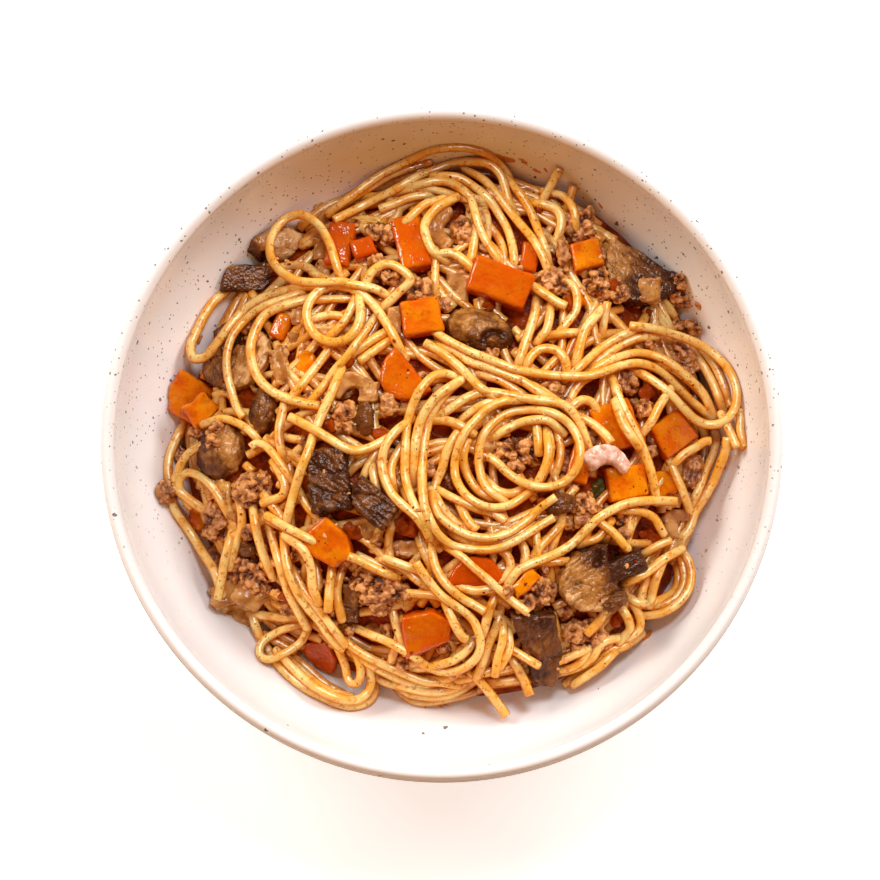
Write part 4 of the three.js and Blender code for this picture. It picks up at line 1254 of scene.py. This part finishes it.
# Small pieces: middle (u, v), length, width, height and turn in degrees
MINCE_BITS = [
    (-18.5, 53, 6, 4, 4, 0), (6, 62, 6, 8, 5, 0), (36, 55.5, 3.5, 10, 4, 10),
    (61, 29, 4, 4, 3, 0), (55, 17.3, 6, 7, 5, 20), (60, 9, 5, 6, 4, 0), (32.3, 15, 7, 5, 4, 10),
    (74, -9.5, 6, 10, 5, -15), (-71.8, 2.7, 6, 4, 4, 20), (-67.8, -0.2, 4, 4, 3, 0),
    (-78, -2.4, 4, 10, 4, 10), (-66.5, -33, 5, 6, 4, 0),
    (-57, -27, 4, 4, 3, 0), (38, -24.3, 4, 4, 3, 0), (53, -23.1, 4, 4, 3, 0),
    (0.2, -77.5, 3, 3, 2.5, 0), (-18, -49, 6, 5, 4, 0), (-28.7, 8.5, 7, 6, 5, 30),
    (-15.4, 10.5, 6, 7, 5, 0), (-28.4, 3.8, 5, 4, 4, 0), (36, -50, 6, 5, 4, 0),
    (24, -47.5, 6, 6, 4, 0), (71.5, 41.5, 5, 4, 4, 0), (52.5, 43.5, 5, 5, 4, 0),
]
TOP_BITS = [
    (-43.5, -33.5, 2, 4, 2, 0), (-27.5, -56, 3, 4, 2.2, 0), (-11.7, -65.3, 3.5, 4.5, 2.4, 0),
    (19.5, -44.3, 3, 3, 2.2, 0), (-81.2, -14.9, 6.5, 6.5, 4.5, 0), (-66.8, 3.2, 5, 4.5, 3, 20),
]
TOMATO_BITS = [
    (51, 46, 4, 3, 1.6, 0), (60.5, 14.3, 4, 5, 1.8, 0), (62, -28, 6, 4, 1.8, 0),
    (-66.3, -47.5, 3, 4, 1.5, 0), (51.6, -52.4, 4, 4, 1.8, 0), (-9.6, -24.3, 8, 7, 2.4, 20),
    (-33, 4.4, 4, 3, 1.8, 0), (-18, 1.8, 5, 4, 1.8, 0), (37.5, 41, 4, 4, 1.8, 0),
    (58.5, -51.5, 3, 5, 1.6, 0), (-25.5, -26.5, 6, 5, 2, 0),
]
ONION_BITS = [
    (-42.5, 37, 4, 5, 2, 0), (-21.5, 14.5, 6, 6, 3, 0), (-9.6, -31.6, 6, 5, 3, 0),
    (-20.4, -25.8, 7, 5, 3, 30), (61.5, 44.5, 6, 7, 3, 0), (4.5, 45, 6, 10, 3, 0),
    (-14.3, 35.5, 4, 8, 3, 0), (-35, 66, 3, 10, 2, 20), (-36, 57, 4, 6, 3, 0),
    (-35, 51, 4, 5, 3, 0), (-48, 22, 4, 11, 2.5, 10), (-63, -45, 11, 7, 3, 20),
    (-60, -51, 9, 5, 3, -25), (-57, -46, 9, 6, 3, -30),
]
MUSHROOM_BITS = [
    (-22.6, 7, 5, 10, 4, 0), (34.5, -18.5, 9, 6, 4, 10), (51, -47.5, 8, 4.5, 3, 30),
    (-57, -32, 5, 4, 3, 0),
]
CARROT_BITS = [
    (-40, 22, 5, 8, 4, 0), (-72, -23.5, 5, 6, 4, 0), (24.6, -42, 9.5, 4, 3.5, 42),
    (41.5, 41.5, 2, 4, 2, 0), (65.8, -12.9, 7, 7, 5, 20), (-71.5, 9, 9, 7.5, 5, 40),
]
HERB_BITS = [(45.5, -15, 7, 4, 0.8, 65)]
BIT_SUNK = 0.3


def bit(row, form, seed, squared):
    """A small piece laid on what is there: a rounded lump, or a chip with cut sides."""
    u, v, length, width, height, degrees = row
    place = seat(u, v, covered, height * (0.5 - BIT_SUNK))
    bm = bmesh.new()
    if squared:
        bmesh.ops.create_cube(bm, size=2)
        bmesh.ops.bevel(bm, geom=bm.edges[:] + bm.verts[:], offset=0.28, segments=3,
                        profile=0.5, affect="EDGES", material=-1)
        bmesh.ops.subdivide_edges(bm, edges=bm.edges, cuts=3, use_grid_fill=True)
    else:
        bmesh.ops.create_icosphere(bm, subdivisions=4, radius=1.1)
    mesh = put(bm, place, Matrix.Rotation(math.radians(degrees), 4, "Z"),
               Vector((length, width, height)) * (MM / 2))
    form(mesh, seed)
    mark_top(mesh, covered)
    return mesh


def mince_lump(mesh, seed):
    crumble(mesh, seed, 0.8)


def soft_lump(mesh, seed):
    push_out(mesh, lambda p: 1.3 * uneven(p, 2.2, seed) + 0.35 * uneven(p, 0.8))


def mushroom_lump(mesh, seed):
    push_out(mesh, lambda p: wrinkled(p, seed, 0.4, 20))
    set_values(mesh, "skin", [0.75] * len(mesh.vertices))


def lay_bits(name, rows, form, material, squared=False):
    meshes = [bit(row, form, 3.7 * i, squared) for i, row in enumerate(rows)]
    dress(joined(name, meshes, material))


def place_on_heap(draw, share):
    """A random place, even over the heap's plan out to this share of its radius."""
    angle = draw.uniform(0, 2 * math.pi)
    reach = float(heap_radius(angle)) * math.sqrt(draw.random()) * share
    return reach * math.cos(angle), reach * math.sin(angle)


def lump(draw, place, size, lengths, subdivisions):
    """A small ball, flattened, and stretched and turned at random."""
    bm = bmesh.new()
    bmesh.ops.create_icosphere(bm, subdivisions=subdivisions, radius=size / 2 * MM)
    stretch = (draw.uniform(*lengths), draw.uniform(0.7, 1.2), 0.7)
    return put(bm, place, Matrix.Rotation(draw.uniform(0, 6.3), 4, "Z"), stretch)


def filling(name, count, sizes, seed, form, material):
    """Small lumps strewn on the sauce between the lower strands."""
    draw = random.Random(seed)
    meshes = []
    for i in range(count):
        x, y = place_on_heap(draw, 0.97)
        size = draw.uniform(*sizes)
        z = float(without_toppings[cells(x), cells(y)])
        mesh = lump(draw, (x, y, z), size, (0.8, 1.4), 3)
        form(mesh, seed + i)
        meshes.append(mesh)
    dress(joined(name, meshes, material))


filling("minced_beef_among_strands", 120, (2.5, 5.0), 51, mince_lump, MINCE)
filling("tomato_among_strands", 26, (2.0, 4.0), 53, soft_lump, TOMATO)
filling("onion_among_strands", 30, (2.5, 5.0), 57, soft_lump, ONION)

# On the lower layer lie dull strands, then the small pieces, then the strands that show
DULL_PILE = 3.5
top_layer = Strands(23)
for route, ends, stain in strand_rows(DULL):
    top_layer.lay(route, ends, stain, pile=DULL_PILE)
lay_bits("minced_beef_bits", MINCE_BITS, mince_lump, MINCE)
lay_bits("tomato_bits", TOMATO_BITS, soft_lump, TOMATO)
lay_bits("onion_bits", ONION_BITS, soft_lump, ONION, squared=True)
lay_bits("mushroom_bits", MUSHROOM_BITS, mushroom_lump, MUSHROOM)
lay_bits("carrot_bits", CARROT_BITS, soft_lump, CARROT, squared=True)
lay_bits("herb_leaf", HERB_BITS, soft_lump, HERB)
for group in (LOWER_LEFT, LOWER_RIGHT, TOP_ARCH, UPPER_LEFT, LEFT, RIGHT, NEST):
    for route, ends, stain in strand_rows(group):
        top_layer.lay(route, ends, stain * 0.8 + 0.12)

lay_bits("minced_beef_crumbs_on_strands", TOP_BITS, mince_lump, MINCE)
level = blurred(covered, 8)
for name, strands in (("strands_beneath", lower_layer), ("strands_on_top", top_layer)):
    mesh = strands.mesh(name)
    paint_depth_shade(mesh, level)
    dress(object_of(name, mesh, PASTA), ["spaghetti"])


# Crumbs of meat, drops of sauce and grains of pepper, strewn over everything, some of them
# half as large again
def strewn(name, count, sizes, seed, material, subdivisions):
    draw = random.Random(seed)
    meshes = []
    for _ in range(count):
        x, y = place_on_heap(draw, 0.99)
        size = draw.uniform(*sizes) * (1 if draw.random() < 0.85 else 1.5)
        z = float(covered[cells(x), cells(y)]) - 0.1 * size
        mesh = lump(draw, (x, y, z), size, (0.7, 1.5), subdivisions)
        push_out(mesh, lambda p: 0.3 * size * noise.noise(p * 1.7 / size))
        meshes.append(mesh)
    dress(joined(name, meshes, material))


strewn("minced_beef_crumbs", 120, (0.5, 1.3), 31, MINCE, 3)
strewn("sauce_drops", 90, (0.4, 0.9), 37, SAUCE, 2)
strewn("pepper_grains", 450, (0.2, 0.4), 41, PEPPER, 1)

# Smears of sauce on the wall: middle (u, v), length along the rim and width up the wall
SMEARS = [
    (15.5, 84.5, 5, 2), (19, 83.5, 6, 2.4), (24, 83, 6, 2.6), (28, 80, 3, 2), (76, 40, 3, 2),
    (60.8, -57.5, 4, 2), (83, -8, 2, 4), (31, 80.5, 4, 1.6), (47, 70, 3, 1.5), (-72, 30, 3, 1.4),
]
SMEAR_THICK = 0.5


def smear(row, seed):
    """A flat drop that lies along the wall and bulges towards the bowl's hollow."""
    u, v, length, width = row
    x, y, z = seat(u, v, ground)
    radius = math.hypot(x, y)
    rise = Vector((FLOOR_RADIUS / radius * x - x, FLOOR_RADIUS / radius * y - y,
                   ARC_CENTRE_Z - z)).normalized()
    along = Vector((-y, x, 0)).normalized()
    turned = Matrix((along, rise.cross(along), rise)).transposed().to_4x4()
    bm = bmesh.new()
    bmesh.ops.create_icosphere(bm, subdivisions=4, radius=1)
    mesh = put(bm, (x, y, z), turned, Vector((length, width, SMEAR_THICK)) * (MM / 2))
    push_out(mesh, lambda p: 0.5 * uneven(p, 1.2, seed))
    return mesh


dress(joined("sauce_smears", [smear(row, 5.1 * i) for i, row in enumerate(SMEARS)], SMEAR))

# Floor, light and camera, in metres and watts
bm = bmesh.new()
bmesh.ops.create_grid(bm, x_segments=1, y_segments=1, size=3.0)
floor = object_of("floor", mesh_of(bm, "floor"), FLOOR)


def panel(name, direction, distance, width, depth, power, colour, lights=True, glints=True):
    """A soft lamp looking at the bowl from this direction, that lights it or glints on it."""
    lamp = bpy.data.lights.new(name, "AREA")
    lamp.shape = "RECTANGLE"
    lamp.size = width
    lamp.size_y = depth
    lamp.energy = power
    lamp.color = linear(colour)[:3]
    holder = object_of(name, lamp)
    way = Vector(direction).normalized()
    turned = way.to_track_quat("Z", "Y").to_matrix().to_4x4()
    holder.matrix_world = Matrix.Translation(way * distance) @ turned
    holder.visible_diffuse = lights
    holder.visible_glossy = glints
    return holder


panel("key", (0.24, 0.66, 1.3), 1.5, 0.42, 0.42, 9.2, "E8F2FF", glints=False)
panel("left_card", (-1.2, 0.85, 0.85), 1.5, 0.8, 0.5, 17.0, "FAF6F2", glints=False)
panel("right_card", (1.2, 0.85, 0.85), 1.5, 0.8, 0.5, 16.2, "FAF6F6", glints=False)
panel("front_card", (-0.3, -0.9, 1.2), 1.8, 1.2, 1.2, 8.0, "FFB060", glints=False)
glint = panel("glint", (0.24, 0.66, 1.3), 1.5, 0.42, 0.42, 10.0, "E8F2FF", lights=False)
sheen = panel("sheen", (0.1, 0.35, 1.3), 1.5, 1.0, 0.6, 22.0, "FFFCF4", lights=False)
spark = panel("spark", (-0.9, 0.6, 0.9), 1.5, 0.3, 0.3, 14.0, "FFFCF4", lights=False)


def shine_on(source, words):
    """Lets a lamp or a glow reach only the pieces whose names start with these words."""
    pieces = bpy.data.collections.new(source.name + "_pieces")
    for piece in bpy.data.objects:
        if piece.name.startswith(words):
            pieces.objects.link(piece)
    source.light_linking.receiver_collection = pieces


# The sheen shapes the round wet pieces and would lie as a veil on flat ones, and the glint
# would do so on the flat cuts of carrot, whose edges catch the spark instead
shine_on(sheen, ("strands", "minced", "garlic", "mushroom"))
shine_on(glint, ("bowl", "strands", "minced", "garlic", "mushroom", "onion", "tomato", "sauce",
                 "herb", "pepper"))
shine_on(spark, ("carrot",))

# The glow whitens the floor itself, and leaves the outside of the bowl its shading
shine_on(floor, ("floor",))

world = bpy.data.worlds.new("studio")
world.use_nodes = True
sky = world.node_tree.nodes["Background"]
sky.inputs["Color"].default_value = linear("FFB878")
sky.inputs["Strength"].default_value = 0.13
bpy.context.scene.world = world

# The camera stands far off at the photo's height angle, aims a little left of and above the
# middle of the rim, and takes in this width there
CAMERA_DISTANCE = 3.0
FRAME_WIDTH = 0.2578
AIM_RIGHT = -0.527 * MM
AIM_UP = 0.293 * MM
lens = bpy.data.cameras.new("camera")
lens.sensor_width = 36.0
lens.lens = lens.sensor_width * CAMERA_DISTANCE / FRAME_WIDTH
camera = object_of("camera", lens)
back = Vector((0, -VIEW_COS, VIEW_SIN))
up = Vector((0, VIEW_SIN, VIEW_COS))
aim = Vector((AIM_RIGHT, 0, RIM_TOP * MM)) + up * AIM_UP
facing = Matrix((Vector((1, 0, 0)), up, back)).transposed().to_4x4()
camera.matrix_world = Matrix.Translation(aim + back * CAMERA_DISTANCE) @ facing
bpy.context.scene.camera = camera
bpy.context.scene.view_settings.view_transform = "Standard"
